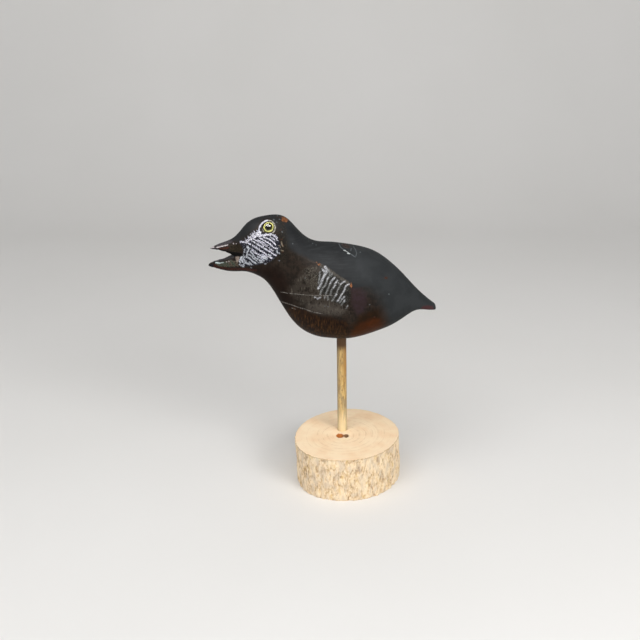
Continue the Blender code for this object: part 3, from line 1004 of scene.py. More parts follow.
@dataclass(frozen=True)
class DowelWood:
    """Birch rod, sanded and gone grey with handling.

    It gives upright grain, a pale foot, a warm upper part, edges greyed by painted shade and
    dark painted shade under the belly.
    """

    straw: str = "#ab874a"
    pale: str = "#d2b274"
    grey: str = "#85775b"
    fleck: str = "#6a5230"
    ochre: str = "#a67632"
    foot: str = "#f8e2b2"
    # Painted shade: dark brown at the rod's top, where the belly shades it.
    belly_shade: str = "#4a2c10"
    middle: float = -5.2 * MM
    foot_heights: tuple[float, float] = (82 * MM, 48 * MM)
    ochre_heights: tuple[float, float] = (90 * MM, 114 * MM)
    belly_shade_heights: tuple[float, float] = (132 * MM, 141 * MM)

    def make(self) -> bpy.types.Material:
        """Makes the material.

        Returns:
            The material.
        """
        material, tree = new_material("handled_birch_dowel")
        place = add(tree, "ShaderNodeTexCoord", out="Object")
        height = add(tree, "ShaderNodeSeparateXYZ", {0: place}, "Z")
        side = add(tree, "ShaderNodeSeparateXYZ", {0: place}, "X")
        upright = add(tree, "ShaderNodeMapping", {"Vector": place, "Scale": (1.0, 1.0, 0.07)})
        streak = add(tree, "ShaderNodeMapping", {"Vector": place, "Scale": (1.0, 1.0, 0.3)})
        fibre, stain, speck = (
            add(tree, "ShaderNodeTexNoise", {"Vector": along, "Scale": per_mm(size), "Detail": 4.0},
                "Fac") for along, size in ((upright, 0.9), (streak, 4.5), (streak, 1.5)))
        right = add(tree, "ShaderNodeMapRange",
                    {"Value": side, "From Min": self.middle - 1.0 * MM,
                     "From Max": self.middle + 2.5 * MM})
        upper = add(tree, "ShaderNodeMapRange",
                    {"Value": height, "From Min": self.ochre_heights[0],
                     "From Max": self.ochre_heights[1]})
        upper_right = add(tree, "ShaderNodeMath", {0: right, 1: upper}, operation="MULTIPLY")
        colour = self.straw
        for over, value, low, high, most in (
                (self.pale, fibre, 0.38, 0.62, 1.0),
                (self.ochre, upper_right, 0.0, 1.0, 0.75),
                (self.grey, stain, 0.48, 0.7, 0.75),
                (self.fleck, speck, 0.54, 0.66, 0.6),
                (self.foot, height, *self.foot_heights, 0.8),
                # Painted shade: greyer along the rod's left edge, away from the key light, and a
                # little along its right edge.
                (self.grey, side, self.middle - 1.4 * MM, self.middle - 4.6 * MM, 0.6),
                (self.grey, side, self.middle + 3.4 * MM, self.middle + 4.8 * MM, 0.35),
                # Painted shade under the belly, darkest at the top.
                (self.belly_shade, height, *self.belly_shade_heights, 0.93)):
            share = add(tree, "ShaderNodeMapRange",
                        {"Value": value, "From Min": low, "From Max": high, "To Max": most},
                        interpolation_type="SMOOTHSTEP")
            colour = add(tree, "ShaderNodeMix", {SHARE: share, UNDER: colour, OVER: over}, MIXED,
                         data_type="RGBA")
        bump = add(tree, "ShaderNodeBump",
                   {"Height": fibre, "Strength": 0.4, "Distance": 0.15 * MM})
        shader = add(tree, "ShaderNodeBsdfPrincipled",
                     {"Base Color": colour, "Roughness": 0.62, "Normal": bump})
        surface(tree, shader)
        return material


@dataclass(frozen=True)
class SawnWood:
    """End grain of a dry log, sawn and sanded.

    It gives a matte cream face with faint rings, warm blotches and a brown pith hole, its left
    wall in painted light and its right wall in painted shade.
    """

    cream: str = "#f5dbb6"
    warm: str = "#efcca2"
    ring: str = "#cfa878"
    ring_fade: tuple[float, float] = (24.0, 46.0)
    ring_widths: tuple[tuple[float, float], ...] = ((5.6, 0.75), (2.1, 0.5))
    # The pith hole's colours are painted light and shade: hole_lit is its left wall in painted
    # light, hole its right wall in painted shade.
    hole: str = "#8a6440"
    hole_lit: str = "#b96c20"

    def make(self) -> bpy.types.Material:
        """Makes the material. It reads each vertex's distance out from the pith, in mm.

        Returns:
            The material.
        """
        material, tree = new_material("sawn_end_grain")
        place = add(tree, "ShaderNodeTexCoord", out="Object")
        blotch = add(tree, "ShaderNodeTexNoise",
                     {"Vector": place, "Scale": per_mm(16.0), "Detail": 3.0}, "Fac")
        fine = add(tree, "ShaderNodeTexNoise",
                   {"Vector": place, "Scale": per_mm(1.3), "Detail": 4.0}, "Fac")
        warm = add(tree, "ShaderNodeMapRange", {"Value": blotch, "From Min": 0.4, "From Max": 0.7})
        colour = add(tree, "ShaderNodeMix", {SHARE: warm, UNDER: self.cream, OVER: self.warm},
                     MIXED, data_type="RGBA")
        ring = add(tree, "ShaderNodeAttribute", out="Fac", attribute_name="ring")
        strayed = add(tree, "ShaderNodeMath", {0: blotch, 1: 3.0, 2: ring},
                      operation="MULTIPLY_ADD")
        fade = add(tree, "ShaderNodeMapRange",
                   {"Value": ring, "From Min": self.ring_fade[0], "From Max": self.ring_fade[1],
                    "To Min": 1.0, "To Max": 0.25})
        patchy = add(tree, "ShaderNodeTexNoise",
                     {"Vector": place, "Scale": per_mm(9.0), "Detail": 2.0}, "Fac")
        patchy = add(tree, "ShaderNodeMapRange",
                     {"Value": patchy, "From Min": 0.4, "From Max": 0.6})
        fade = add(tree, "ShaderNodeMath", {0: fade, 1: patchy}, operation="MULTIPLY")
        for width, strength in self.ring_widths:
            turns = add(tree, "ShaderNodeMath", {0: strayed, 1: 2.0 * math.pi / width},
                        operation="MULTIPLY")
            wave = add(tree, "ShaderNodeMath", {0: turns}, operation="SINE")
            late = add(tree, "ShaderNodeMapRange",
                       {"Value": wave, "From Min": 0.5, "From Max": 1.0, "To Max": strength},
                       interpolation_type="SMOOTHSTEP")
            broken = add(tree, "ShaderNodeMath", {0: late, 1: fine}, operation="MULTIPLY")
            broken = add(tree, "ShaderNodeMath", {0: broken, 1: fade}, operation="MULTIPLY")
            colour = add(tree, "ShaderNodeMix", {SHARE: broken, UNDER: colour, OVER: self.ring},
                         MIXED, data_type="RGBA")
        depth = add(tree, "ShaderNodeAttribute", out="Fac", attribute_name="pith_depth")
        hollow = add(tree, "ShaderNodeMapRange", {"Value": depth, "From Min": 0.2, "From Max": 1.2},
                     interpolation_type="SMOOTHSTEP")
        # Painted light and shade in the pith hole: orange towards -X, darker towards +X.
        side = add(tree, "ShaderNodeSeparateXYZ", {0: place}, "X")
        lit = add(tree, "ShaderNodeMapRange",
                  {"Value": side, "From Min": -2.5 * MM, "From Max": -5.0 * MM})
        inside = add(tree, "ShaderNodeMix", {SHARE: lit, UNDER: self.hole, OVER: self.hole_lit},
                     MIXED, data_type="RGBA")
        colour = add(tree, "ShaderNodeMix", {SHARE: hollow, UNDER: colour, OVER: inside},
                     MIXED, data_type="RGBA")
        bump = add(tree, "ShaderNodeBump", {"Height": fine, "Strength": 0.3, "Distance": 0.15 * MM})
        shader = add(tree, "ShaderNodeBsdfPrincipled",
                     {"Base Color": colour, "Roughness": 0.78, "Normal": bump})
        surface(tree, shader)
        return material


@dataclass(frozen=True)
class Bark:
    """Dry weathered bark in small upright flakes.

    It gives rough pale crests with bright flecks over grey and brown cracks; the cracks' brown
    is partly painted shade and the flecks partly painted highlights.
    """

    crest: str = "#edd6b3"
    middle: str = "#d8ba91"
    crack: str = "#b0906a"
    grey: str = "#bcab9a"
    flake: str = "#f7e6c8"
    ochre: str = "#d9b56a"
    fleck: str = "#77644a"
    rim_line: str = "#a98459"
    rim: tuple[float, float] = (44.4 * MM, 45.4 * MM)

    def make(self) -> bpy.types.Material:
        """Makes the material. It reads each vertex's height on the flakes, from 0 to 1.

        Returns:
            The material.
        """
        material, tree = new_material("weathered_bark")
        place = add(tree, "ShaderNodeTexCoord", out="Object")
        upright = add(tree, "ShaderNodeMapping", {"Vector": place, "Scale": (1.0, 1.0, 0.45)})
        fleck = add(tree, "ShaderNodeTexNoise",
                    {"Vector": upright, "Scale": per_mm(1.2), "Detail": 4.0}, "Fac")
        patch = add(tree, "ShaderNodeTexNoise",
                    {"Vector": upright, "Scale": per_mm(5.0), "Detail": 3.0}, "Fac")
        height = add(tree, "ShaderNodeAttribute", out="Fac", attribute_name="bark")
        strayed = add(tree, "ShaderNodeMath", {0: fleck, 1: 0.7, 2: height},
                      operation="MULTIPLY_ADD")
        # Darker towards the cracks and paler on the crests: partly the bark's own colour, partly
        # painted shade in the cracks.
        colour = add(tree, "ShaderNodeValToRGB", {"Fac": strayed}, "Color", stops=(
            (0.5, self.crack), (0.74, self.middle), (1.0, self.crest)))
        for over, value, low, high, most in (
                # Bright flecks: partly pale flakes, partly painted highlights on the crests.
                (self.flake, fleck, 0.56, 0.68, 0.7),
                (self.grey, patch, 0.48, 0.62, 0.42),
                (self.ochre, patch, 0.4, 0.3, 0.5),
                (self.fleck, fleck, 0.36, 0.28, 0.5)):
            share = add(tree, "ShaderNodeMapRange",
                        {"Value": value, "From Min": low, "From Max": high, "To Max": most})
            colour = add(tree, "ShaderNodeMix", {SHARE: share, UNDER: colour, OVER: over},
                         MIXED, data_type="RGBA")
        level = add(tree, "ShaderNodeSeparateXYZ", {0: place}, "Z")
        edge = add(tree, "ShaderNodeMapRange",
                   {"Value": level, "From Min": self.rim[0], "From Max": self.rim[1]})
        edge = add(tree, "ShaderNodeMath", {0: edge, 1: fleck}, operation="MULTIPLY")
        colour = add(tree, "ShaderNodeMix", {SHARE: edge, UNDER: colour, OVER: self.rim_line},
                     MIXED, data_type="RGBA")
        bump = add(tree, "ShaderNodeBump", {"Height": fleck, "Strength": 0.7, "Distance": 0.4 * MM})
        shader = add(tree, "ShaderNodeBsdfPrincipled",
                     {"Base Color": colour, "Roughness": 0.88, "Normal": bump})
        surface(tree, shader)
        return material


@dataclass(frozen=True)
class StudioPaper:
    """Seamless studio paper. It gives a pale, plain, matte ground."""

    sheet: str = "#e4e2df"
    shade: str = "#dcdad6"

    def make(self) -> bpy.types.Material:
        """Makes the material.

        Returns:
            The material.
        """
        material, tree = new_material("seamless_paper")
        place = add(tree, "ShaderNodeTexCoord", out="Object")
        cloud = add(tree, "ShaderNodeTexNoise", {"Vector": place, "Scale": per_mm(300.0)}, "Fac")
        colour = add(tree, "ShaderNodeMix", {SHARE: cloud, UNDER: self.sheet, OVER: self.shade},
                     MIXED, data_type="RGBA")
        shader = add(tree, "ShaderNodeBsdfPrincipled", {"Base Color": colour, "Roughness": 0.9})
        surface(tree, shader)
        return material


@dataclass(frozen=True)
class TurnedSeat:
    """Where a turned CAD node stands: its middle, its axis, its reach along it, its radius."""

    middle: Vector
    axis: Vector
    low: float
    high: float
    radius: float

    @classmethod
    def of(cls, node: str, towards: Vector) -> "TurnedSeat":
        """Measures a turned node.

        Args:
            node: the CAD node's name.
            towards: a direction that the axis is to point along rather than against.

        Returns:
            The seat, with low and high measured from the middle along the axis.
        """
        points = np.unique(places(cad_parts[node].data).round(7), axis=0)
        middle = points.mean(axis=0)
        spreads, directions = np.linalg.eigh(np.cov((points - middle).T))
        odd_one = 0 if spreads[1] - spreads[0] > spreads[2] - spreads[1] else 2
        axis = directions[:, odd_one]
        if axis @ np.array(towards) < 0:
            axis = -axis
        along = (points - middle) @ axis
        across = np.linalg.norm(points - middle - along[:, None] * axis, axis=1)
        return cls(Vector(middle), Vector(axis), along.min(), along.max(), across.max())

    @property
    def turn(self) -> tuple[float, float, float]:
        """Rotation that stands a primitive's Z on the axis."""
        return self.axis.to_track_quat("Z", "Y").to_euler()

    def at(self, along: float) -> Vector:
        """The point on the axis at a distance from the middle."""
        return self.middle + self.axis * along

    def measure(self, points: np.ndarray) -> tuple[np.ndarray, np.ndarray]:
        """Distance of points along the axis, from the middle, and across it.

        Args:
            points: points in metres, one to a row.

        Returns:
            The distances along the axis and those across it, in metres.
        """
        gaps = points - np.array(self.middle)
        along = gaps @ np.array(self.axis)
        across = np.linalg.norm(gaps - along[:, None] * np.array(self.axis), axis=1)
        return along, across


class Side(Enum):
    """A side of the bird, by the direction in which its eye looks out."""

    LEFT = -1
    RIGHT = 1

    @property
    def word(self) -> str:
        """The side's name, as the CAD nodes spell it."""
        return self.name.lower()


@dataclass
class Bird:
    """The carved bird: one block of pine with its open bill, sockets and dowel hole."""

    view: PhotoView
    voxel: float = 1.22 * MM
    rounds: int = 25
    stroke_depth: float = 0.3 * MM
    rib_depth: float = 0.45 * MM
    chip_depth: float = 0.45 * MM
    knot_depth: float = 0.7 * MM
    knife_marks: tuple[tuple[float, float], ...] = ((13.0, 0.16 * MM), (4.0, 0.05 * MM))
    gouge_marks: float = 0.12 * MM
    bill_start: float = -96 * MM
    tips_start: float = -112 * MM
    longest_spot: float = 1.7
    eye_reach: float = 12 * MM
    smooth_share: float = 0.88
    tip_shares: tuple[float, float] = (0.02, 0.1)
    patch_margin: float = 1.2
    spot_margin: float = 1.6
    stroke_margin: float = 1.0
    soft_rear: tuple[float, float] = (358, 384)
    soft_nape: tuple[float, float] = (316, 300)
    grazing: float = 0.03
    outside: float = -9.0

    def build(self) -> None:
        """Models the bird and hands it over."""
        self.eyes = [TurnedSeat.of("eye_" + side.word, Vector((0, side.value, 0))) for side in Side]
        self.middle = sum(seat.middle.y for seat in self.eyes) / len(self.eyes)
        self.obj = copy_of_node("bird_body", "crow_carving")
        apply_modifier(self.obj, "REMESH", mode="VOXEL", voxel_size=self.voxel)
        self.smooth_block()
        self.refine()
        self.map_paint()
        self.carve()
        smooth_faces(self.obj, 50.0)
        dress(self.obj, DecoyPaint().make())
        hand_over(self.obj, "bird_body")

    def mirrored_pixels(self, points: np.ndarray) -> np.ndarray:
        """Pixels of points, with the hidden right side laid on the left one.

        Args:
            points: points in metres, one to a row.

        Returns:
            A row of x and y for each point.
        """
        near = points.copy()
        near[:, 1] = self.middle - np.abs(points[:, 1] - self.middle)
        return self.view.pixels(near)

    def eye_gap(self, points: np.ndarray) -> np.ndarray:
        """Distance of points from the nearer eye's axis, near that eye.

        Args:
            points: points in metres, one to a row.

        Returns:
            The distances in metres, and 1 where both eyes are far.
        """
        gaps = []
        for seat in self.eyes:
            along, across = seat.measure(points)
            gaps.append(np.where(np.abs(along) < self.eye_reach, across, 1.0))
        return np.minimum(*gaps)

    def smooth_block(self) -> None:
        """Evens the block, gently where it is thin or has crisp edges."""
        points = places(self.obj.data)
        dowel = TurnedSeat.of("dowel", UP)
        _, from_dowel = dowel.measure(points)
        body = ease(points[:, 0], self.bill_start, self.bill_start + 14 * MM)
        clear = ease(self.eye_gap(points), 5.6 * MM, 8 * MM)
        clear *= ease(from_dowel, 5.4 * MM, 8 * MM)
        least, more = self.tip_shares
        tips = least + more * ease(points[:, 0], self.tips_start, self.tips_start + 12 * MM)
        even_out(self.obj.data, tips + self.smooth_share * body * clear, self.rounds)

    def divide_where(self, chosen: np.ndarray, cuts: int = 1) -> None:
        """Divides the chosen faces.

        Args:
            chosen: for each face, whether it is divided.
            cuts: the number of cuts across each face.
        """
        edit_faces(self.obj, chosen)
        bpy.ops.mesh.subdivide(number_cuts=cuts)
        leave_edit()

    def refine(self) -> None:
        """Divides the faces that carry fine carving or chips."""
        for patches in ((CHEEK, SHOULDER, BILL), (CHEEK,)):
            pixels = self.mirrored_pixels(face_values(self.obj.data, "center"))
            chosen = np.zeros(len(pixels), bool)
            for outline in patches:
                chosen |= patch_depth(pixels, outline) > -self.patch_margin
            self.divide_where(chosen)
        centres = face_values(self.obj.data, "center")
        pixels = self.view.pixels(centres)
        seen = self.view.facing(centres, face_values(self.obj.data, "normal")) > 0
        near = spot_depth(pixels, (*BARE, *KNOT, *RUBBED)) > -self.spot_margin
        near |= stroke_depth(pixels, (*SCUFFS, *FAINT_SCUFFS, *SCRATCHES)) > -self.stroke_margin
        self.divide_where(near & seen & (patch_depth(pixels, CHEEK) < 0), cuts=2)

    def keep(self, name: str, values: np.ndarray) -> None:
        """Stores a field on the bird's mesh."""
        self.fields[name] = values
        store(self.obj.data, name, values)

    def round_spots(self, points: np.ndarray, seen: np.ndarray, hidden: np.ndarray,
                    spots: Spots) -> np.ndarray:
        """Depth inside spots, each kept from stretching where the wood is seen edge on.

        Args:
            points: the bird's vertices.
            seen: the pixels at which they are seen.
            hidden: which of them are turned away.
            spots: the spots.

        Returns:
            Distance in pixels inside the nearest spot's edge, negative outside.
        """
        depths = []
        for spot in spots:
            gap = np.hypot(*(seen - spot[:2]).T) + np.where(hidden, self.view.side, 0.0)
            from_middle = np.linalg.norm(points - points[np.argmin(gap)], axis=1) / MM
            longest = self.longest_spot * max(spot[2:4])
            depths.append(np.minimum(spot_depth(seen, (spot,)), longest - from_middle))
        return np.max(depths, axis=0)

    def map_paint(self) -> None:
        """Stores where each coat, stroke and mark lies, for carving and for the paint."""
        self.fields = {}
        points, normals = places(self.obj.data), outward(self.obj.data)
        pixels = self.mirrored_pixels(points)
        soft = 1.0 + 2.5 * ease(pixels[:, 0], *self.soft_rear)
        soft = soft + 1.2 * ease(pixels[:, 0], *self.soft_nape)
        self.keep("flank", np.ones(len(points)))
        self.keep("charcoal", patch_depth(pixels, CHARCOAL) / soft)
        for name, outline in (("throat", THROAT), ("breast", BREAST), ("maroon", MAROON),
                              ("worn_edge", WORN_EDGE), ("worn", WORN), ("flank_wear_and_sheen", FLANK_WEAR_AND_SHEEN),
                              ("tail_edge", TAIL_EDGE), ("rear", REAR), ("sheen", SHEEN),
                              ("head_side", HEAD_SIDE), ("dotted", DOTTED), ("cheek", CHEEK),
                              ("shoulder", SHOULDER), ("bill", BILL), ("bill_base", BILL_BASE),
                              ("lower_bill", LOWER_BILL), ("beige", BEIGE), ("mouth_shade", MOUTH_SHADE)):
            self.keep(name, patch_depth(pixels, outline))
        for name, strokes in (("cheek_white", CHEEK_WHITE), ("cheek_grey", CHEEK_GREY),
                              ("cheek_tan", CHEEK_TAN), ("rib_highlights", RIB_HIGHLIGHTS),
                              ("rib_highlights_dim", RIB_HIGHLIGHTS_DIM), ("shoulder_edge", SHOULDER_EDGE),
                              ("eye_ring", EYE_RING), ("eye_ring_dim", EYE_RING_DIM),
                              ("glint", BILL_GLINTS), ("bill_sky_reflection", BILL_SKY_REFLECTION),
                              ("bill_shade", BILL_SHADE), ("bill_teal_highlight", BILL_TEAL_HIGHLIGHT),
                              ("bill_red", BILL_RED)):
            self.keep(name, stroke_depth(pixels, strokes))
        seen = self.view.pixels(points)
        hidden = self.view.facing(points, normals) < self.grazing
        bare = self.round_spots(points, seen, hidden, BARE)
        for name, depth in (("bare", bare), ("knot", spot_depth(seen, KNOT)),
                            ("rubbed", spot_depth(seen, RUBBED)),
                            ("scuff", stroke_depth(seen, SCUFFS)),
                            ("faint_scuff", stroke_depth(seen, FAINT_SCUFFS)),
                            ("scratch", stroke_depth(seen, SCRATCHES))):
            self.keep(name, np.where(hidden, self.outside, depth))

    def carve(self) -> None:
        """Cuts the strokes, ribs, tool marks and chips into the wood."""
        mesh = self.obj.data
        points, normals = places(mesh), outward(mesh)
        fields = self.fields
        clear_of_eye = ease(self.eye_gap(points), 5.4 * MM, 6.4 * MM)
        strokes = np.maximum(fields["cheek_white"], fields["cheek_grey"])
        cheek = ease(fields["cheek"], -0.5, 1.5) * clear_of_eye
        depth = self.stroke_depth * cheek * (1.0 - ease(strokes, -0.7, 0.3))
        ribs = np.maximum(fields["rib_highlights"], fields["rib_highlights_dim"])
        shoulder = ease(fields["shoulder"], -0.5, 2.5)
        depth += self.rib_depth * shoulder * (1.0 - ease(ribs, -1.2, 0.3))
        depth += self.chip_depth * ease(fields["bare"], -0.3, 0.6)
        depth += self.knot_depth * ease(fields["knot"], -0.5, 1.5)
        body = clear_of_eye * ease(points[:, 0], self.bill_start, self.bill_start + 20 * MM)
        for size, height in self.knife_marks:
            depth += height * body * (0.5 + 0.5 * grain(points, size, seed=7.0))
        sides = body * ease(-fields["charcoal"], 0.0, 3.0)
        depth += self.gouge_marks * sides * (0.5 + 0.5 * grain(points, (1.8, 1.8, 8.0), seed=2.0))
        set_places(mesh, points - depth[:, None] * normals)


@dataclass
class Eye:
    """A glass eye: a domed clear disc with its iris painted on a thin back."""

    side: Side
    dome: float = 2.6 * MM
    back: float = 0.18 * MM
    overlap: float = 0.1 * MM
    segments: int = 64
    iris_rings: int = 12
    ring_width: float = 0.35 * MM

    def build(self) -> None:
        """Models the glass and its painted back and hands them over."""
        node = "eye_" + self.side.word
        self.seat = TurnedSeat.of(node, Vector((0, self.side.value, 0)))
        glass = self.build_glass(node)
        dress(glass, EyeGlass().make())
        hand_over(glass, node)
        iris = self.build_iris(node)
        dress(iris, EyeEnamel().make())
        hand_over(iris)

    def build_glass(self, node: str) -> bpy.types.Object:
        """Cuts the dome from a ball and draws its rim back.

        Args:
            node: the eye's CAD node.

        Returns:
            The glass.
        """
        seat = self.seat
        ball = (seat.radius**2 + self.dome**2) / (2.0 * self.dome)
        rim = seat.high - self.dome
        bpy.ops.mesh.primitive_uv_sphere_add(
            segments=self.segments, ring_count=self.segments, radius=ball,
            location=seat.at(seat.high - ball), rotation=seat.turn)
        glass = name_piece(node + "_glass")
        edit_faces(glass, np.ones(len(glass.data.polygons), bool))
        bpy.ops.mesh.bisect(plane_co=seat.at(rim), plane_no=seat.axis, use_fill=True,
                            clear_inner=True)
        leave_edit()
        middles = seat.measure(face_values(glass.data, "center"))[0]
        edit_faces(glass, middles < rim + 0.01 * MM)
        reach = rim - (seat.low + self.back - self.overlap)
        bpy.ops.mesh.extrude_region_move(
            TRANSFORM_OT_translate={"value": -seat.axis * reach, "orient_type": "GLOBAL"})
        leave_edit()
        smooth_faces(glass)
        return glass

    def build_iris(self, node: str) -> bpy.types.Object:
        """Builds the painted back, with rings of faces for the iris's colours.

        Args:
            node: the eye's CAD node.

        Returns:
            The painted back.
        """
        seat = self.seat
        bpy.ops.mesh.primitive_cylinder_add(
            vertices=self.segments, radius=seat.radius - self.overlap, depth=self.back,
            location=seat.at(seat.low + self.back / 2), rotation=seat.turn)
        iris = name_piece(node + "_iris")
        for _ in range(self.iris_rings):
            along, across = seat.measure(face_values(iris.data, "center"))
            edit_faces(iris, (along > seat.low + 0.9 * self.back) & (across < 0.1 * MM))
            bpy.ops.mesh.inset(thickness=self.ring_width)
            leave_edit()
        store(iris.data, "from_axis", seat.measure(places(iris.data))[1] / MM)
        return iris


@dataclass
class Dowel:
    """The birch rod between the log and the bird."""

    sides: int = 48
    rings: int = 90
    chamfer: float = 0.7 * MM
    uneven: float = 0.1 * MM

    def build(self) -> None:
        """Models the rod and hands it over."""
        seat = TurnedSeat.of("dowel", UP)
        bpy.ops.mesh.primitive_cylinder_add(
            vertices=self.sides, radius=seat.radius, depth=seat.high - seat.low,
            location=seat.at((seat.high + seat.low) / 2), rotation=seat.turn)
        rod = name_piece("birch_dowel")
        self.divide(rod, seat)
        points = places(rod.data)
        along, across = seat.measure(points)
        worn = self.uneven * (0.5 + 0.5 * grain(points, (5.0, 5.0, 16.0)))
        radial = points - np.array(seat.middle) - along[:, None] * np.array(seat.axis)
        share = np.where(across > 0.5 * seat.radius, worn / seat.radius, 0.0)
        set_places(rod.data, points - share[:, None] * radial)
        smooth_faces(rod)
        dress(rod, DowelWood().make())
        hand_over(rod, "dowel")

    def divide(self, rod: bpy.types.Object, seat: TurnedSeat) -> None:
        """Chamfers the ends and divides the rod's length into rings.

        Args:
            rod: the rod.
            seat: where it stands.
        """
        sides = np.abs(face_values(rod.data, "normal") @ np.array(seat.axis)) < 0.5
        edit_faces(rod, ~sides)
        bpy.ops.mesh.bevel(offset=self.chamfer, segments=2, affect="EDGES")
        leave_edit()
        step = (seat.high - seat.low) / self.rings
        for i in range(1, self.rings):
            edit_faces(rod, np.ones(len(rod.data.polygons), bool))
            bpy.ops.mesh.bisect(plane_co=seat.at(seat.low + i * step), plane_no=seat.axis)
            leave_edit()


@dataclass
class LogSlice:
    """A slice of a small log: sawn faces, growth rings, pith hole and flaking bark."""

    voxel: float = 1.04 * MM
    pith: tuple[float, float] = (-4.5 * MM, -2.5 * MM)
    pith_reach: float = 9 * MM
    ring_reach: float = 52 * MM
    flake: tuple[float, float, float] = (2.0, 2.0, 6.5)
    plate: tuple[float, float, float] = (4.5, 4.5, 11.0)
    lump: tuple[float, float, float] = (9.0, 9.0, 11.0)
    crumb: tuple[float, float, float] = (1.2, 1.2, 1.8)
    relief: float = 1.3 * MM
    rim_from: float = 30 * MM
    bark_from: float = 40 * MM
    sawn_within: float = 50 * MM
    shares: tuple[float, float, float, float] = (0.3, 0.35, 0.35, 0.15)

    def build(self) -> None:
        """Models the slice and hands it over."""
        low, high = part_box("log_base")
        self.top = high.z
        self.middle = np.array([(low.x + high.x) / 2, (low.y + high.y) / 2])
        self.obj = copy_of_node("log_base", "log_slice")
        self.read_rim()
        apply_modifier(self.obj, "REMESH", mode="VOXEL", voxel_size=self.voxel)
        self.refine_bark()
        self.raise_bark()
        self.store_rings()
        smooth_faces(self.obj, 60.0)
        self.dress()
        hand_over(self.obj, "log_base")

    def polar(self, points: np.ndarray) -> tuple[np.ndarray, np.ndarray]:
        """Angle and distance of points round the slice's middle.

        Args:
            points: points in metres, one to a row.

        Returns:
            The angles in radians and the distances in metres.
        """
        x, y = (points[:, :2] - self.middle).T
        return np.arctan2(y, x), np.hypot(x, y)

    def read_rim(self) -> None:
        """Reads the sawn top's rim from the CAD node."""
        points = places(self.obj.data)
        angle, distance = self.polar(points)
        rim = (points[:, 2] > self.top - 0.1 * MM) & (distance > self.rim_from)
        order = np.argsort(angle[rim])
        self.rim_angle, self.rim_distance = angle[rim][order], distance[rim][order]

    def rim_at(self, angle: np.ndarray) -> np.ndarray:
        """Distance of the rim from the slice's middle at each angle."""
        return np.interp(angle, self.rim_angle, self.rim_distance, period=2.0 * math.pi)

    def refine_bark(self) -> None:
        """Divides the faces of the bark."""
        normals = face_values(self.obj.data, "normal")
        distance = self.polar(face_values(self.obj.data, "center"))[1]
        edit_faces(self.obj, (distance > self.bark_from) & (np.abs(normals[:, 2]) < 0.7))
        bpy.ops.mesh.subdivide(number_cuts=1)
        leave_edit()

    def raise_bark(self) -> None:
        """Cuts the cracks between the bark's flakes, and stores each vertex's height."""
        mesh = self.obj.data
        points, normals = places(mesh), outward(mesh)
        angle, distance = self.polar(points)
        on_side = (distance > self.bark_from) & (np.abs(normals[:, 2]) < 0.95)
        plates = np.minimum(np.abs(grain(points, self.plate)) * 4.0, 1.0)
        flakes = 0.5 + 0.8 * grain(points, self.flake, seed=3.0)
        lumps = 0.5 + 0.8 * grain(points, self.lump, seed=5.0)
        crumbs = grain(points, self.crumb, seed=9.0)
        parts = zip(self.shares, (plates, flakes, lumps, crumbs))
        height = np.clip(sum(share * part for share, part in parts), 0.0, 1.0)
        store(mesh, "bark", np.where(on_side, height, 1.0))
        below = self.top - points[:, 2]
        fade = 0.25 + 0.75 * ease(below, 0.3 * MM, 4 * MM)
        depth = np.where(on_side, self.relief * (1.0 - height) * fade, 0.0)
        out = np.stack([np.cos(angle), np.sin(angle), np.zeros(len(angle))], axis=1)
        moved = points - depth[:, None] * out
        flat = (distance < self.sawn_within) & (below < 0.4 * MM)
        moved[flat, 2] = self.top
        moved[:, 2] = np.clip(moved[:, 2], 0.0, self.top)
        set_places(mesh, moved)

    def store_rings(self) -> None:
        """Stores the growth rings' distance out and the pith hole's depth, both in mm."""
        points = places(self.obj.data)
        angle, distance = self.polar(points)
        share = distance / self.rim_at(angle)
        drift = (1.0 - share)[:, None] * (np.array(self.pith) - self.middle)
        x, y = (points[:, :2] - self.middle - drift).T
        store(self.obj.data, "ring", np.hypot(x, y) / self.rim_at(angle) * self.ring_reach / MM)
        from_pith = np.hypot(points[:, 0] - self.pith[0], points[:, 1] - self.pith[1])
        depth = np.where(from_pith < self.pith_reach, self.top - points[:, 2], 0.0)
        store(self.obj.data, "pith_depth", depth / MM)

    def dress(self) -> None:
        """Gives the sides bark and the sawn faces end grain."""
        mesh = self.obj.data
        dress(self.obj, Bark().make())
        mesh.materials.append(SawnWood().make())
        centres, normals = face_values(mesh, "center"), face_values(mesh, "normal")
        distance = self.polar(centres)[1]
        at_ends = (centres[:, 2] > self.top - 1.0 * MM) | (centres[:, 2] < 0.5 * MM)
        sawn = (np.abs(normals[:, 2]) > 0.6) & at_ends
        inner = distance < self.bark_from
        mesh.polygons.foreach_set("material_index", (sawn | inner).astype(np.int32))


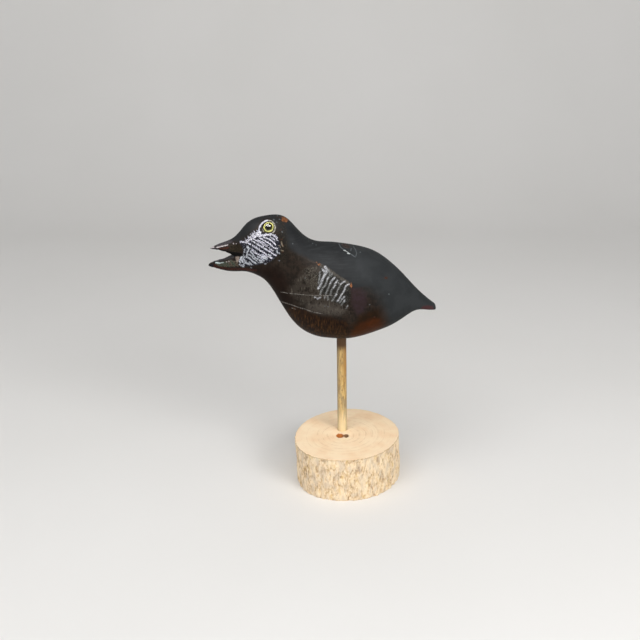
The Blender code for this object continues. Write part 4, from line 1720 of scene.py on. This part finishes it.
@dataclass
class Studio:
    """Pale seamless paper and soft light, none of it part of the decoy."""

    floor_front: float = -1.6
    floor_back: float = 1.3
    half_width: float = 2.2
    wall: float = 2.2
    bend: float = 0.5
    bend_segments: int = 16
    near: float = 0.01
    aim: tuple[float, float, float] = (-0.02, 0.0, 0.17)

    def build(self) -> None:
        """Builds the paper, the lights and the world."""
        self.build_paper()
        self.add_light("key", (0.85, -0.95, 0.9), (0.7, 0.7), 12.5, mirrored=False)
        self.add_light("overhead", (-0.24, -0.67, 1.26), (1.5, 0.9), 10.6)
        self.add_light("fill", (-1.0, -1.1, 0.5), (0.9, 0.9), 4.5, mirrored=False)
        self.add_light("window", (-0.33, -0.58, 1.29), (2.0, 0.9), 70.0, lights=False)
        world = bpy.data.worlds.new("soft_room")
        world.use_nodes = True
        background = world.node_tree.nodes["Background"]
        background.inputs["Color"].default_value = linear("#f2f4f8")
        background.inputs["Strength"].default_value = 0.3
        bpy.context.scene.world = world
        bpy.context.scene.view_settings.view_transform = "Standard"

    def build_paper(self) -> None:
        """Rolls the paper from the floor up a wall with a soft bend."""
        bpy.ops.mesh.primitive_plane_add(
            size=1.0, location=(0.0, (self.floor_front + self.floor_back) / 2, 0.0))
        paper = bpy.context.object
        paper.scale = (2.0 * self.half_width, self.floor_back - self.floor_front, 1.0)
        paper = name_piece("paper_floor")
        at_back = places(paper.data)[:, 1] > self.floor_back - self.near
        edit_edges(paper, at_back)
        bpy.ops.mesh.extrude_region_move(TRANSFORM_OT_translate={"value": (0.0, 0.0, self.wall)})
        leave_edit()
        points = places(paper.data)
        at_back = points[:, 1] > self.floor_back - self.near
        edit_edges(paper, at_back & (points[:, 2] < self.near))
        bpy.ops.mesh.bevel(offset=self.bend, segments=self.bend_segments, affect="EDGES")
        leave_edit()
        smooth_faces(paper)
        paper.data.materials.append(StudioPaper().make())

    def add_light(self, name: str, place: tuple[float, float, float],
                  size: tuple[float, float], power: float, lights: bool = True,
                  mirrored: bool = True) -> None:
        """Adds a soft light that looks at the bird.

        Args:
            name: the light's name.
            place: where it stands, in metres.
            size: its width and height in metres.
            power: its power in watts.
            lights: whether it lights matte surfaces.
            mirrored: whether glossy surfaces mirror it.
        """
        data = bpy.data.lights.new(name, "AREA")
        data.shape = "RECTANGLE"
        data.size, data.size_y = size
        data.energy = power
        light = bpy.data.objects.new(name, data)
        look = Vector(self.aim) - Vector(place)
        turn = look.to_track_quat("-Z", "Y").to_matrix().to_4x4()
        light.matrix_world = Matrix.Translation(place) @ turn
        light.visible_diffuse = lights
        light.visible_glossy = mirrored
        bpy.context.scene.collection.objects.link(light)


def main() -> None:
    """Builds each sub-assembly in order."""
    logging.basicConfig(level=logging.INFO, format="%(name)s: %(message)s", force=True)
    view = PhotoView()
    view.make_camera()
    LogSlice().build()
    Dowel().build()
    Bird(view).build()
    for side in Side:
        Eye(side).build()
    Studio().build()


if __name__ == "__main__":
    main()
